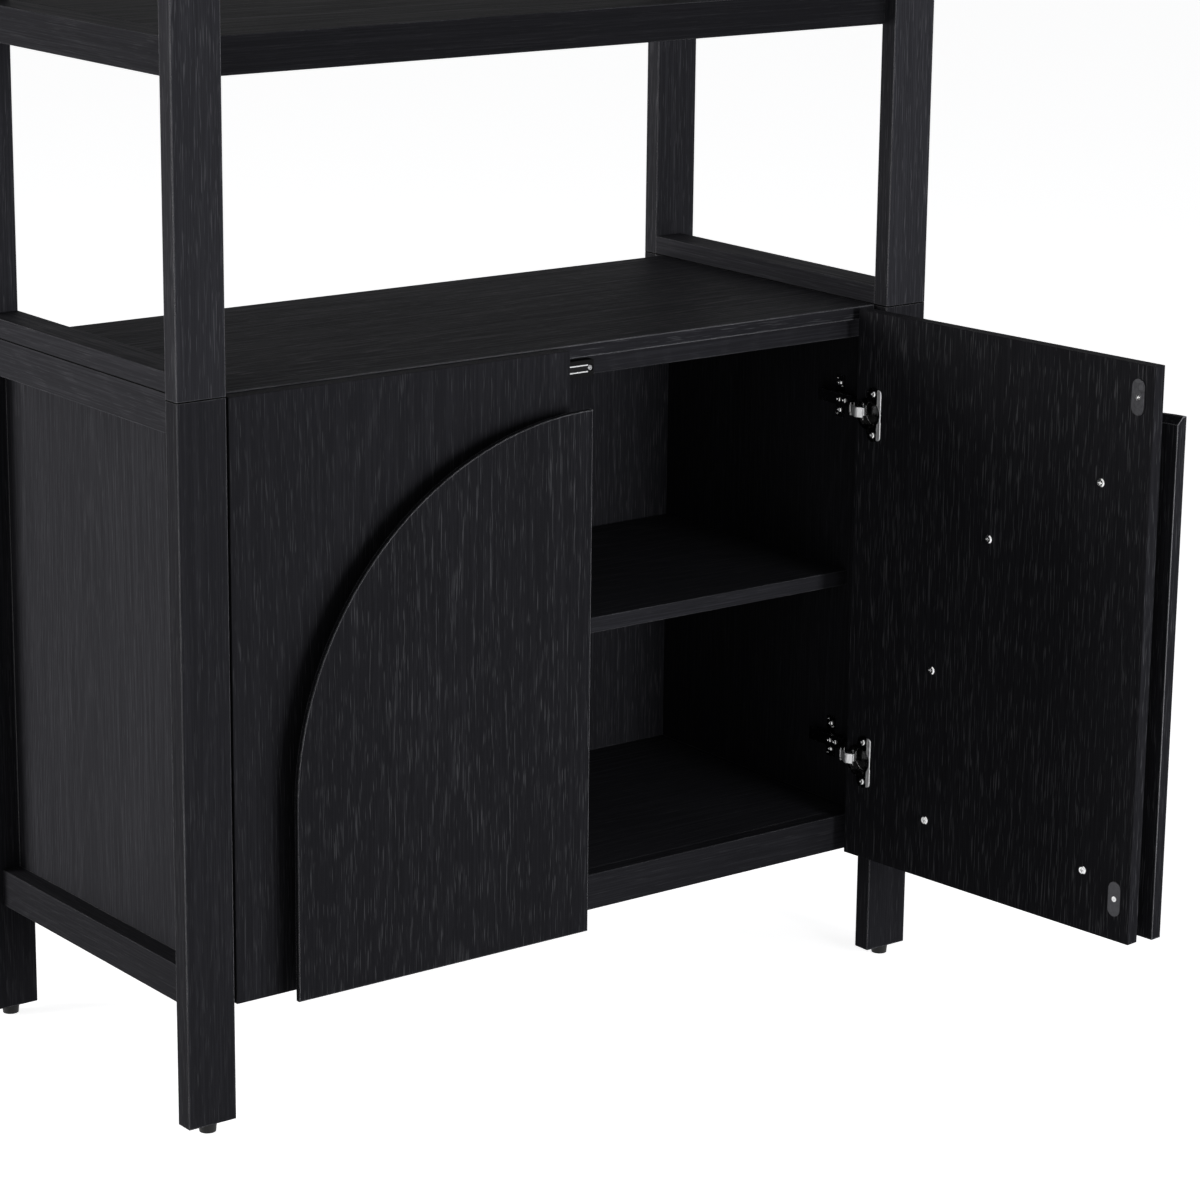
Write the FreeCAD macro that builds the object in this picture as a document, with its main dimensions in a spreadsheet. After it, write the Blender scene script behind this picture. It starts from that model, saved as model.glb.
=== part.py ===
import FreeCAD, Part
import os
import re
from math import radians

import Sketcher
from FreeCAD import Rotation, Vector

# Bookcase cabinet: a two-door base cabinet with a three-shelf open rack standing on it.
# X runs left to right, Y front to back, Z up from the floor.
# The origin is on the floor, under the middle of the cabinet.
# Lengths are in millimetres and angles in degrees.

DIMENSIONS = {
    # whole cabinet
    "overall_width": 1000.0,
    "overall_depth": 450.0,
    "glide_height": 10.0,
    "lower_post_height": 780.0,
    "shelf_pitch": 360.0,
    "wood_arris": 0.8,
    # corner posts
    "post_width": 58.0,
    "post_depth": 22.0,
    # side rails between front and rear posts
    "rail_recess": 18.0,
    "rail_thickness": 40.0,
    "top_rail_height": 42.0,
    "bottom_rail_height": 42.0,
    "bottom_rail_underside": 124.0,
    "base_rail_height": 22.0,
    # open shelves
    "shelf_thickness": 40.0,
    "shelf_setback": 18.0,
    # cabinet box behind the doors
    "carcass_setback": 21.0,
    "carcass_rear_gap": 35.0,
    "top_thickness": 15.0,
    "bottom_thickness": 15.0,
    "batten_setback": 30.0,
    "batten_thickness": 18.0,
    "top_batten_height": 22.0,
    "side_panel_inset": 41.0,
    "side_panel_thickness": 9.0,
    "panel_tongue": 5.0,
    "groove_depth": 6.0,
    "groove_clearance": 0.1,
    "back_panel_thickness": 6.0,
    "inner_shelf_thickness": 18.0,
    "inner_shelf_rise": 271.0,
    "inner_shelf_setback": 65.0,
    "inner_shelf_side_gap": 0.5,
    "inner_shelf_rear_gap": 4.0,
    # shelf pins
    "pin_radius": 2.5,
    "pin_clearance": 0.05,
    "pin_embedded": 7.0,
    "pin_exposed": 8.0,
    "pin_end_inset": 45.0,
    "pin_end_gap": 0.3,
    # dowels
    "dowel_radius": 4.0,
    "dowel_clearance": 0.05,
    "dowel_length": 30.0,
    "dowel_end_gap": 0.5,
    "rail_dowel_spacing": 18.0,
    "post_dowel_spacing": 30.0,
    # glides under the posts
    "glide_foot_radius": 9.0,
    "glide_top_radius": 10.0,
    "glide_stem_radius": 4.0,
    "glide_stem_length": 18.0,
    "glide_stem_clearance": 0.05,
    # doors
    "door_thickness": 16.0,
    "door_hinge_gap": 3.0,
    "door_meeting_gap": 18.0,
    "door_top_gap": 1.0,
    "door_underside": 128.0,
    "door_arris": 0.8,
    "left_door_opening": 0.0,
    "right_door_opening": 96.0,
    # quarter-round panels that stand in front of the doors
    "arch_hinge_inset": 56.5,
    "arch_top_drop": 59.0,
    "arch_thickness": 15.0,
    "arch_standoff": 18.0,
    "arch_overhang": 6.5,
    "arch_bevel_width": 9.0,
    "arch_bevel_depth": 8.0,
    "arch_arris": 0.8,
    "arch_screw_inset": 70.0,
    "arch_screw_rise": 71.0,
    "arch_screw_edge": 74.0,
    "arch_upper_angle": 76.4,
    "arch_middle_angle": 42.3,
    "arch_lower_angle": 7.3,
    "spacer_radius": 12.5,
    "arch_screw_hole_radius": 2.5,
    # pan-head screws through door and spacer into the arch panel
    "arch_screw_radius": 2.0,
    "arch_screw_bite": 10.0,
    "arch_screw_fit": 0.05,
    "arch_screw_tip_gap": 1.0,
    "pan_head_radius": 5.0,
    "pan_head_height": 2.8,
    # small screws of the ironmongery
    "small_screw_radius": 1.75,
    "small_screw_fit": 0.05,
    "small_screw_length": 7.0,
    "small_screw_tip_gap": 0.5,
    "small_head_radius": 3.6,
    "small_head_height": 1.6,
    "sunk_head_radius": 3.1,
    "sunk_head_height": 1.3,
    # cup hinges
    "hinge_end_distance": 118.0,
    "cup_inset": 21.0,
    "cup_radius": 17.5,
    "cup_bore_clearance": 0.2,
    "cup_depth": 11.5,
    "cup_hollow_radius": 15.5,
    "cup_hollow_depth": 10.5,
    "flange_radius": 19.5,
    "flange_thickness": 1.5,
    "flange_wing_width": 17.8,
    "flange_wing_height": 63.0,
    "flange_screw_inset": 27.0,
    "flange_screw_spacing": 48.0,
    # hinge links and arms
    "cup_pin_inset": 7.9,
    "cup_pin_depth": 3.06,
    "cup_pin_length": 19.0,
    "cup_slot_height": 12.0,
    "arm_pin_inset": 25.85,
    "arm_pin_setback": 8.0,
    "link_outer_knee_reach": 7.86,
    "link_outer_knee_drop": 5.85,
    "link_inner_knee_reach": 1.45,
    "link_inner_knee_drop": 5.92,
    "link_thickness": 2.0,
    "link_height": 9.0,
    "link_eye_radius": 2.1,
    "link_turn_at_limit": 57.4,
    "link_limit_opening": 96.0,
    "hinge_pin_radius": 1.2,
    "hinge_pin_clearance": 0.05,
    "arm_thickness": 6.0,
    "arm_height": 14.0,
    "arm_cheek_height": 2.0,
    "arm_rear_setback": 108.0,
    "arm_knee_setback": 48.0,
    "arm_slot_radius": 11.0,
    "plate_thickness": 2.0,
    "plate_height": 50.0,
    "plate_width": 14.0,
    "plate_setback": 84.0,
    "plate_screw_spacing": 32.0,
    "saddle_depth": 8.0,
    "saddle_length": 44.0,
    "saddle_height": 12.0,
    # magnetic catches
    "catch_gap": 0.4,
    "catch_width": 74.0,
    "catch_height": 18.0,
    "catch_spacing": 32.0,
    "catch_foot_depth": 16.0,
    "catch_foot_height": 5.0,
    "catch_screw_spacing": 65.0,
    "catch_screw_length": 16.0,
    "catch_screw_sinking": 2.2,
    "catch_screw_sink_radius": 4.0,
    "catch_drop": 3.0,
    "pole_width": 25.0,
    "pole_thickness": 1.2,
    "pole_depth": 8.0,
    "pole_proud": 1.0,
    "pole_fit": 0.1,
    "magnet_height": 6.0,
    "magnet_recess": 1.5,
    # strike plates on the doors
    "strike_width": 17.0,
    "strike_height": 40.0,
    "strike_thickness": 1.5,
    "strike_edge_inset": 21.0,
    "strike_upper_drop": 36.0,
    "strike_lower_rise": 49.0,
}

# Sizes and places that follow from the dimensions above.
DERIVED = {
    "half_width": "overall_width / 2",
    "half_depth": "overall_depth / 2",
    "seam_height": "glide_height + lower_post_height",
    "rack_height": "shelf_count * shelf_pitch",
    "rail_length": "overall_depth - 2 * post_depth",
    "clear_width": "overall_width - 2 * post_width",
    "bottom_rail_top": "bottom_rail_underside + bottom_rail_height",
    "floor_top": "glide_height + bottom_rail_top",
    "top_rail_bottom": "lower_post_height - top_rail_height",
    "groove_width": "side_panel_thickness + 2 * groove_clearance",
    "groove_inset": "side_panel_inset - groove_clearance",
    "panel_inner_inset": "side_panel_inset + side_panel_thickness",
    "box_depth": "overall_depth - carcass_setback - carcass_rear_gap",
    "rear_batten_height": "top_rail_height - top_thickness",
    "dowel_hole_radius": "dowel_radius + dowel_clearance",
    "dowel_hole_depth": "dowel_length / 2 + dowel_end_gap",
    "door_width": "(clear_width - door_meeting_gap) / 2 - door_hinge_gap",
    "door_height": "lower_post_height - door_top_gap - door_underside",
    "door_bottom": "glide_height + door_underside",
    "door_edge_inset": "post_width + door_hinge_gap",
    "arch_height": "door_height - arch_top_drop",
    "arch_edge": "door_width + arch_overhang",
    "arch_radius": "arch_edge - arch_hinge_inset",
    "arch_screw_circle": "arch_radius - arch_screw_inset",
    "arch_screw_length": "door_thickness + arch_standoff + arch_screw_bite",
    "arch_hole_depth": "arch_screw_bite + arch_screw_tip_gap",
    "small_hole_radius": "small_screw_radius + small_screw_fit",
    "small_hole_depth": "small_screw_length + small_screw_tip_gap",
    "cup_bore_radius": "cup_radius + cup_bore_clearance",
    "link_reach_x": "cup_pin_inset - arm_pin_inset",
    "link_reach_y": "-(cup_pin_depth + arm_pin_setback)",
    "arm_root_inset": "saddle_depth + arm_thickness / 2 + panel_inner_inset - door_edge_inset",
    "pole_front": "door_thickness + strike_thickness + catch_gap",
    "catch_front": "pole_front + pole_proud",
    "catch_pitch": "pole_thickness + magnet_height",
}

SHELF_NAMES = ("lower", "middle", "top")
SIDES = ("left", "right")
ENDS = ("front", "rear")
QUARTER_TURN = 90
EDGE_TOLERANCE = 0.001
EDGE_SAMPLES = 5

# how sketches number the ends and centres of their lines, and their own axes and origin
FIRST_END = 1
LAST_END = 2
CENTRE = 3
SKETCH_X_AXIS = -1
SKETCH_Y_AXIS = -2
SKETCH_ORIGIN = (SKETCH_X_AXIS, FIRST_END)

# shares of a screw's own sizes
SCREW_TIP_SHARE = 0.5
HEAD_CROWN_SHARE = 0.75
HEAD_SIDE_SHARE = 0.5
RECESS_REACH_SHARE = 0.5
RECESS_ARM_SHARE = 0.125
RECESS_DEPTH_SHARE = 0.5

doc = FreeCAD.newDocument("BookcaseCabinet")
sheet = doc.addObject("Spreadsheet::Sheet", "Dimensions")
nodes = []


def fill_sheet():
    """Writes each driving dimension beside its name and gives its cell that name as alias."""
    values = dict(DIMENSIONS, shelf_count=len(SHELF_NAMES))
    for row, (alias, value) in enumerate(values.items(), start=1):
        sheet.set(f"A{row}", alias)
        sheet.set(f"B{row}", str(value))
        sheet.setAlias(f"B{row}", alias)
    doc.recompute()
    return set(values)


ALIASES = fill_sheet()


def formula(text):
    """Turns words that name a size into references to the sheet's cells."""
    def refer(match):
        word = match.group(0)
        if word in DERIVED:
            return "(" + formula(DERIVED[word]) + ")"
        if word in ALIASES:
            return "Dimensions." + word
        return word
    return re.sub(r"[a-z][a-z_0-9]*", refer, str(text))


def measure(text):
    """The present value of a formula, which sketches are first drawn with."""
    return float(sheet.evalExpression(formula(text)))


def bind(thing, path, text):
    thing.setExpression(path, formula(text))


def place(thing, corner, turn=None):
    """Binds the place of a piece and, where given, its turn about the upright axis."""
    for axis, text in zip("xyz", corner):
        bind(thing, f"Placement.Base.{axis}", text)
    if turn is not None:
        thing.Placement.Rotation = Rotation(Vector(0, 0, 1), 0)
        bind(thing, "Placement.Rotation.Angle", turn)
    return thing


def node(thing, name):
    thing.Label = name
    nodes.append(thing)
    return thing


def across(side, low, high):
    """Lowest X of a span that is given by distances from the outer face on its own side."""
    return f"-half_width + ({low})" if side == "left" else f"half_width - ({high})"


def along(end, low, high):
    """Lowest Y of a span that is given by distances from the face at its own end."""
    return f"-half_depth + ({low})" if end == "front" else f"half_depth - ({high})"


def mirrored(side, low, high, whole):
    """Lowest local X of a span inside a piece of the given whole width."""
    return f"({low})" if side in ("left", "front") else f"({whole}) - ({high})"


def signed(side, text):
    return f"({text})" if side == "left" else f"-({text})"


# PartDesign pieces

def new_body(name):
    return node(doc.addObject("PartDesign::Body", name), name)


def sketch_on(body, role, offset="0"):
    """A sketch on one of the body's own origin planes, moved along that plane's normal."""
    sketch = body.newObject("Sketcher::SketchObject", body.Name + "_sketch")
    support = next(item for item in body.Origin.OriginFeatures if item.Role == role)
    sketch.AttachmentSupport = [(support, "")]
    sketch.MapMode = "FlatFace"
    # the normal of the XZ plane points to the front, towards -Y
    along_normal = f"-({offset})" if role == "XZ_Plane" else offset
    bind(sketch, "AttachmentOffset.Base.z", along_normal)
    return sketch


def constrain(sketch, kind, refs, text):
    index = sketch.addConstraint(Sketcher.Constraint(kind, *refs, measure(text)))
    bind(sketch, f"Constraints[{index}]", text)


def pin_point(sketch, geometry, point, x, y):
    """Fixes one point of a sketch at the given place from the sketch's origin."""
    if x == "0":
        sketch.addConstraint(Sketcher.Constraint("PointOnObject", geometry, point, SKETCH_Y_AXIS))
    else:
        constrain(sketch, "DistanceX", (*SKETCH_ORIGIN, geometry, point), x)
    if y == "0":
        sketch.addConstraint(Sketcher.Constraint("PointOnObject", geometry, point, SKETCH_X_AXIS))
    else:
        constrain(sketch, "DistanceY", (*SKETCH_ORIGIN, geometry, point), y)


def polygon(sketch, points):
    """A closed outline of straight lines through points that are given as formulas."""
    first = len(sketch.Geometry)
    corners = [Vector(measure(x), measure(y), 0) for x, y in points]
    for start, end in zip(corners, corners[1:] + corners[:1]):
        sketch.addGeometry(Part.LineSegment(start, end), False)
    for index, (x, y) in enumerate(points):
        line = first + index
        following = first + (index + 1) % len(points)
        sketch.addConstraint(Sketcher.Constraint("Coincident", line, LAST_END, following, FIRST_END))
        pin_point(sketch, line, FIRST_END, x, y)


def rectangle(sketch, x, y, width, height):
    far_x = f"{x} + {width}" if x != "0" else width
    far_y = f"{y} + {height}" if y != "0" else height
    polygon(sketch, [(x, y), (far_x, y), (far_x, far_y), (x, far_y)])


def circle(sketch, x, y, radius):
    middle = Vector(measure(x), measure(y), 0)
    index = sketch.addGeometry(Part.Circle(middle, Vector(0, 0, 1), measure(radius)), False)
    constrain(sketch, "Radius", (index,), radius)
    pin_point(sketch, index, CENTRE, x, y)


def pad(body, sketch, length):
    feature = body.newObject("PartDesign::Pad", body.Name + "_pad")
    feature.Profile = sketch
    bind(feature, "Length", length)
    sketch.Visibility = False
    return feature


def pocket(body, sketch, depth, upward):
    """A pocket that runs towards the positive axis where upward is true."""
    feature = body.newObject("PartDesign::Pocket", body.Name + "_pocket")
    feature.Profile = sketch
    role = sketch.AttachmentSupport[0][0].Role
    # a pocket runs against its sketch's normal, which is -Y on the XZ plane
    feature.Reversed = upward != (role == "XZ_Plane")
    bind(feature, "Length", depth)
    return feature


def drill(body, role, offset, places, radius, depth, upward):
    """Round holes from one face of a body: places are pairs on the named plane."""
    sketch = sketch_on(body, role, offset)
    for x, y in places:
        circle(sketch, x, y, radius)
    return pocket(body, sketch, depth, upward)


def round_all(body, base, radius):
    feature = body.newObject("PartDesign::Fillet", body.Name + "_arris")
    feature.Base = (base, [""])
    feature.UseAllEdges = True
    bind(feature, "Radius", radius)
    return feature


def board(name, size, corner, arris="wood_arris", turn=None):
    """A squared piece of wood with eased edges, from its lowest corner."""
    body = new_body(name)
    outline = sketch_on(body, "XY_Plane")
    rectangle(outline, "0", "0", size[0], size[1])
    blank = pad(body, outline, size[2])
    round_all(body, blank, arris)
    place(body, corner, turn)
    return body


# Part primitives

AXIS_TURNS = {
    "x": Rotation(Vector(0, 1, 0), QUARTER_TURN),
    "y": Rotation(Vector(1, 0, 0), -QUARTER_TURN),
    "z": Rotation(Vector(0, 0, 1), 0),
}


def rod(radius, length, start, axis="z"):
    """A cylinder that starts at a point and runs along the positive axis."""
    thing = doc.addObject("Part::Cylinder", "rod")
    thing.Placement.Rotation = AXIS_TURNS[axis]
    bind(thing, "Radius", radius)
    bind(thing, "Height", length)
    return place(thing, start)


def block(size, corner):
    thing = doc.addObject("Part::Box", "block")
    for path, text in zip(("Length", "Width", "Height"), size):
        bind(thing, path, text)
    return place(thing, corner)


def fuse(pieces):
    if len(pieces) == 1:
        return pieces[0]
    thing = doc.addObject("Part::MultiFuse", "joined")
    thing.Shapes = pieces
    return thing


def cut(base, tools):
    thing = doc.addObject("Part::Cut", "cut")
    thing.Base = base
    thing.Tool = fuse(tools)
    return thing


def group(name, pieces, corner=None, turn=None):
    """Separate solids that share one node."""
    thing = doc.addObject("Part::Compound", name)
    thing.Links = pieces
    if corner is not None:
        place(thing, corner, turn)
    return node(thing, name)


def bar(points, width, height, bottom):
    """A flat bar of even width that runs through the points, with round ends and knees."""
    pieces = []
    for start, end in zip(points, points[1:]):
        run_x = f"(({end[0]}) - ({start[0]}))"
        run_y = f"(({end[1]}) - ({start[1]}))"
        run = f"sqrt({run_x} * {run_x} + {run_y} * {run_y})"
        length = block((run, width, height), ("0", "0", "0"))
        corner_x = f"({start[0]}) + ({width}) / 2 * {run_y} / {run}"
        corner_y = f"({start[1]}) - ({width}) / 2 * {run_x} / {run}"
        pieces.append(place(length, (corner_x, corner_y, bottom), f"atan2({run_y}; {run_x})"))
    for x, y in points:
        pieces.append(rod(f"({width}) / 2", height, (x, y, bottom)))
    return pieces


# Fasteners: each kind is drawn once and placed by links

def screw(name, half_outline, head_radius, top, head_height):
    """A screw turned about the Z axis from half its outline, with a cross recess in its top."""
    body = doc.addObject("PartDesign::Body", name)
    outline = sketch_on(body, "XZ_Plane")
    polygon(outline, half_outline)
    turned = body.newObject("PartDesign::Revolution", name + "_turned")
    turned.Profile = outline
    turned.ReferenceAxis = (outline, ["V_Axis"])
    recess = sketch_on(body, "XY_Plane", top)
    reach = f"({head_radius}) * {RECESS_REACH_SHARE}"
    arm = f"({head_radius}) * {RECESS_ARM_SHARE}"
    polygon(recess, [
        (f"-{reach}", f"-{arm}"), (f"-{arm}", f"-{arm}"), (f"-{arm}", f"-{reach}"),
        (arm, f"-{reach}"), (arm, f"-{arm}"), (reach, f"-{arm}"),
        (reach, arm), (arm, arm), (arm, reach),
        (f"-{arm}", reach), (f"-{arm}", arm), (f"-{reach}", arm),
    ])
    pocket(body, recess, f"({head_height}) * {RECESS_DEPTH_SHARE}", upward=False)
    return body


def shank(radius, length):
    """The tip and the foot of the straight side of a screw's shank, below its seat at zero."""
    return [
        ("0", f"-({length})"),
        (f"({radius}) * {SCREW_TIP_SHARE}", f"-({length})"),
        (radius, f"-({length}) + ({radius})"),
    ]


def pan_head_screw(name, shank_radius, shank_length, head_radius, head_height):
    """The head's seat is at zero and the shank runs down from it."""
    head = [
        (shank_radius, "0"),
        (head_radius, "0"),
        (head_radius, f"({head_height}) * {HEAD_SIDE_SHARE}"),
        (f"({head_radius}) * {HEAD_CROWN_SHARE}", head_height),
        ("0", head_height),
    ]
    half_outline = shank(shank_radius, shank_length) + head
    return screw(name, half_outline, head_radius, head_height, head_height)


def sunk_screw(name, shank_radius, shank_length, head_radius, head_height):
    """The flat top of the head is at zero, and the head tapers to the shank below it."""
    head = [
        (shank_radius, f"-({head_height})"),
        (head_radius, "0"),
        ("0", "0"),
    ]
    half_outline = shank(shank_radius, shank_length) + head
    return screw(name, half_outline, head_radius, "0", head_height)


SCREW_TURNS = {
    "+x": Rotation(Vector(0, 1, 0), QUARTER_TURN),
    "-x": Rotation(Vector(0, 1, 0), -QUARTER_TURN),
    "+y": Rotation(Vector(1, 0, 0), -QUARTER_TURN),
    "-y": Rotation(Vector(1, 0, 0), QUARTER_TURN),
    "+z": Rotation(Vector(0, 0, 1), 0),
}


def copy_of(pattern, seat, facing):
    """A link to a fastener, with its head seated at a point and facing along an axis."""
    link = doc.addObject("App::Link", pattern.Name + "_copy")
    link.LinkedObject = pattern
    link.Placement.Rotation = SCREW_TURNS[facing]
    return place(link, seat)


# Frame: posts, rails, panels and boards

def post(name, side, end, bottom, height, rail_middles):
    """A corner post with dowel holes for the rails in its inner face."""
    corner = (across(side, "0", "post_width"), along(end, "0", "post_depth"), bottom)
    body = board(name, ("post_width", "post_depth", height), corner)
    middle = "rail_recess + rail_thickness / 2"
    if side == "right":
        middle = f"post_width - ({middle})"
    places = []
    for level in rail_middles:
        places.append((f"{middle} - rail_dowel_spacing / 2", level))
        places.append((f"{middle} + rail_dowel_spacing / 2", level))
    inner_face = "post_depth" if end == "front" else "0"
    drill(body, "XZ_Plane", inner_face, places, "dowel_hole_radius", "dowel_hole_depth", end == "rear")
    return body


def post_end_places():
    return [
        ("(post_width - post_dowel_spacing) / 2", "post_depth / 2"),
        ("(post_width + post_dowel_spacing) / 2", "post_depth / 2"),
    ]


def lower_post(side, end):
    middles = (
        "bottom_rail_underside + bottom_rail_height / 2",
        "lower_post_height - top_rail_height / 2",
    )
    name = f"lower_post_{end}_{side}"
    body = post(name, side, end, "glide_height", "lower_post_height", middles)
    # the groove runs on behind the rails' ends, where it holds the corners of the panel's tongue
    groove = sketch_on(body, "XZ_Plane", "post_depth" if end == "front" else "0")
    x = mirrored(side, "groove_inset", "groove_inset + groove_width", "post_width")
    height = "top_rail_bottom - bottom_rail_top + 2 * groove_depth"
    rectangle(groove, x, "bottom_rail_top - groove_depth", "groove_width", height)
    pocket(body, groove, "groove_depth", upward=end == "rear")
    drill(body, "XY_Plane", "lower_post_height", post_end_places(),
          "dowel_hole_radius", "dowel_hole_depth", upward=False)
    drill(body, "XY_Plane", "0", [("post_width / 2", "post_depth / 2")],
          "glide_stem_radius + glide_stem_clearance", "glide_stem_length + dowel_end_gap", upward=True)


def upper_post(side, end):
    middles = ["base_rail_height / 2"]
    for level in range(1, len(SHELF_NAMES) + 1):
        middles.append(f"{level} * shelf_pitch - shelf_thickness / 2")
    body = post(f"upper_post_{end}_{side}", side, end, "seam_height", "rack_height", middles)
    drill(body, "XY_Plane", "0", post_end_places(), "dowel_hole_radius", "dowel_hole_depth", upward=True)


def side_rail(name, side, bottom, height):
    """A rail from front post to rear post, set back from the posts' outer face."""
    corner = (across(side, "rail_recess", "rail_recess + rail_thickness"),
              "-half_depth + post_depth", bottom)
    body = board(name, ("rail_thickness", "rail_length", height), corner)
    places = [
        ("(rail_thickness - rail_dowel_spacing) / 2", f"({height}) / 2"),
        ("(rail_thickness + rail_dowel_spacing) / 2", f"({height}) / 2"),
    ]
    drill(body, "XZ_Plane", "0", places, "dowel_hole_radius", "dowel_hole_depth", upward=True)
    drill(body, "XZ_Plane", "rail_length", places, "dowel_hole_radius", "dowel_hole_depth", upward=False)
    return body


def grooved_rail(name, side, bottom, height, groove_on_top):
    """A side rail with the groove that holds one edge of the side panel."""
    body = side_rail(name, side, bottom, height)
    groove = sketch_on(body, "XY_Plane", height if groove_on_top else "0")
    low = "groove_inset - rail_recess"
    x = mirrored(side, low, f"{low} + groove_width", "rail_thickness")
    rectangle(groove, x, "0", "groove_width", "rail_length")
    pocket(body, groove, "groove_depth", upward=not groove_on_top)


def hinge_levels():
    """Heights of the hinge centres above the foot of the door."""
    return ("hinge_end_distance", "door_height - hinge_end_distance")


def pin_places():
    """Places of the shelf pins: distance from the front face, and height of the pin's axis."""
    front = "inner_shelf_setback + pin_end_inset"
    rear = ("overall_depth - carcass_rear_gap - back_panel_thickness"
            " - inner_shelf_rear_gap - pin_end_inset")
    level = "floor_top + inner_shelf_rise - pin_radius"
    return [(front, level), (rear, level)]


def plate_screw_places():
    """Places of the mounting plates' screws: distance from the front face, and height."""
    places = []
    for level in hinge_levels():
        for sign in "-+":
            height = f"door_bottom + {level} {sign} plate_screw_spacing / 2"
            places.append(("plate_setback", height))
    return places


def side_panel(side):
    """The cabinet's side, with its edges in the grooves of posts and rails."""
    corner = (across(side, "side_panel_inset", "panel_inner_inset"),
              "-half_depth + post_depth - panel_tongue",
              "glide_height + bottom_rail_top - panel_tongue")
    height = "top_rail_bottom - bottom_rail_top + 2 * panel_tongue"
    size = ("side_panel_thickness", "rail_length + 2 * panel_tongue", height)
    body = board(f"side_panel_{side}", size, corner)
    local_y = "(post_depth - panel_tongue)"
    local_z = "(glide_height + bottom_rail_top - panel_tongue)"
    inner_face = "side_panel_thickness" if side == "left" else "0"
    pins = [(f"{y} - {local_y}", f"{z} - {local_z}") for y, z in pin_places()]
    drill(body, "YZ_Plane", inner_face, pins, "pin_radius + pin_clearance",
          "pin_embedded + pin_end_gap", upward=side == "right")
    screws = [(f"{y} - {local_y}", f"{z} - {local_z}") for y, z in plate_screw_places()]
    drill(body, "YZ_Plane", inner_face, screws, "small_hole_radius",
          "small_hole_depth - plate_thickness", upward=side == "right")


def cross_piece(name, front, depth, bottom, height):
    """A board that runs from the left side frame to the right one."""
    corner = ("-clear_width / 2", f"-half_depth + {front}", bottom)
    return board(name, ("clear_width", depth, height), corner)


def catch_level(upper):
    """Height of the middle of a magnetic catch."""
    if upper:
        return "(seam_height - top_thickness - catch_drop - catch_height / 2)"
    return "(floor_top + catch_height / 2)"


def catch_screw_columns():
    """Distances of the catch screws from the left end of a cross piece."""
    return [f"clear_width / 2 {sign} catch_screw_spacing / 2" for sign in "-+"]


def make_frame():
    for end in ENDS:
        for side in SIDES:
            lower_post(side, end)
            upper_post(side, end)
    for side in SIDES:
        grooved_rail(f"side_bottom_rail_{side}", side, "glide_height + bottom_rail_underside",
                     "bottom_rail_height", groove_on_top=True)
        grooved_rail(f"side_top_rail_{side}", side, "glide_height + top_rail_bottom",
                     "top_rail_height", groove_on_top=False)
        side_rail(f"rack_base_rail_{side}", side, "seam_height", "base_rail_height")
        side_panel(side)


def make_shelves():
    for level, shelf in enumerate(SHELF_NAMES, start=1):
        bottom = f"seam_height + {level} * shelf_pitch - shelf_thickness"
        depth = "overall_depth - 2 * shelf_setback"
        cross_piece(f"{shelf}_shelf", "shelf_setback", depth, bottom, "shelf_thickness")
        for side in SIDES:
            side_rail(f"{shelf}_shelf_rail_{side}", side, bottom, "shelf_thickness")


def make_carcass():
    rear_face = "overall_depth - carcass_rear_gap"
    cross_piece("cabinet_top", "carcass_setback", "box_depth",
                "seam_height - top_thickness", "top_thickness")
    batten = cross_piece("top_front_batten", "batten_setback", "batten_thickness",
                         "seam_height - top_thickness - top_batten_height", "top_batten_height")
    level = f"{catch_level(True)} - (seam_height - top_thickness - top_batten_height)"
    held = "batten_setback - catch_front - catch_screw_sinking"
    drill(batten, "XZ_Plane", "0", [(x, level) for x in catch_screw_columns()],
          "small_hole_radius", f"catch_screw_length - ({held}) + small_screw_tip_gap", upward=True)
    cross_piece("top_rear_batten", f"{rear_face} - batten_thickness", "batten_thickness",
                "glide_height + top_rail_bottom", "rear_batten_height")
    floor_front = "batten_setback + batten_thickness"
    rail = cross_piece("bottom_front_rail", "batten_setback", "batten_thickness",
                       "glide_height + bottom_rail_underside", "bottom_rail_height")
    drill(rail, "XY_Plane", "bottom_rail_height",
          [(x, "catch_foot_depth / 2") for x in catch_screw_columns()],
          "small_hole_radius", "catch_screw_length - catch_foot_height + small_screw_tip_gap",
          upward=False)
    cross_piece("cabinet_floor", floor_front, f"{rear_face} - ({floor_front})",
                "floor_top - bottom_thickness", "bottom_thickness")
    cross_piece("bottom_rear_rail", f"{rear_face} - batten_thickness", "batten_thickness",
                "glide_height + bottom_rail_underside", "bottom_rail_height - bottom_thickness")
    panel_width = "(overall_width - 2 * panel_inner_inset)"
    board("back_panel",
          (panel_width, "back_panel_thickness", "top_rail_bottom - bottom_rail_top"),
          (f"-{panel_width} / 2", f"-half_depth + {rear_face} - back_panel_thickness", "floor_top"))
    shelf_width = f"({panel_width} - 2 * inner_shelf_side_gap)"
    shelf_depth = f"{rear_face} - back_panel_thickness - inner_shelf_rear_gap - inner_shelf_setback"
    board("inner_shelf", (shelf_width, shelf_depth, "inner_shelf_thickness"),
          (f"-{shelf_width} / 2", "-half_depth + inner_shelf_setback", "floor_top + inner_shelf_rise"))


def make_shelf_pins():
    pins = []
    for side in SIDES:
        for y, z in pin_places():
            start = across(side, "panel_inner_inset - pin_embedded", "panel_inner_inset + pin_exposed")
            corner = (start, f"-half_depth + {y}", z)
            pins.append(rod("pin_radius", "pin_embedded + pin_exposed", corner, "x"))
    group("shelf_pins", pins)


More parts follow.
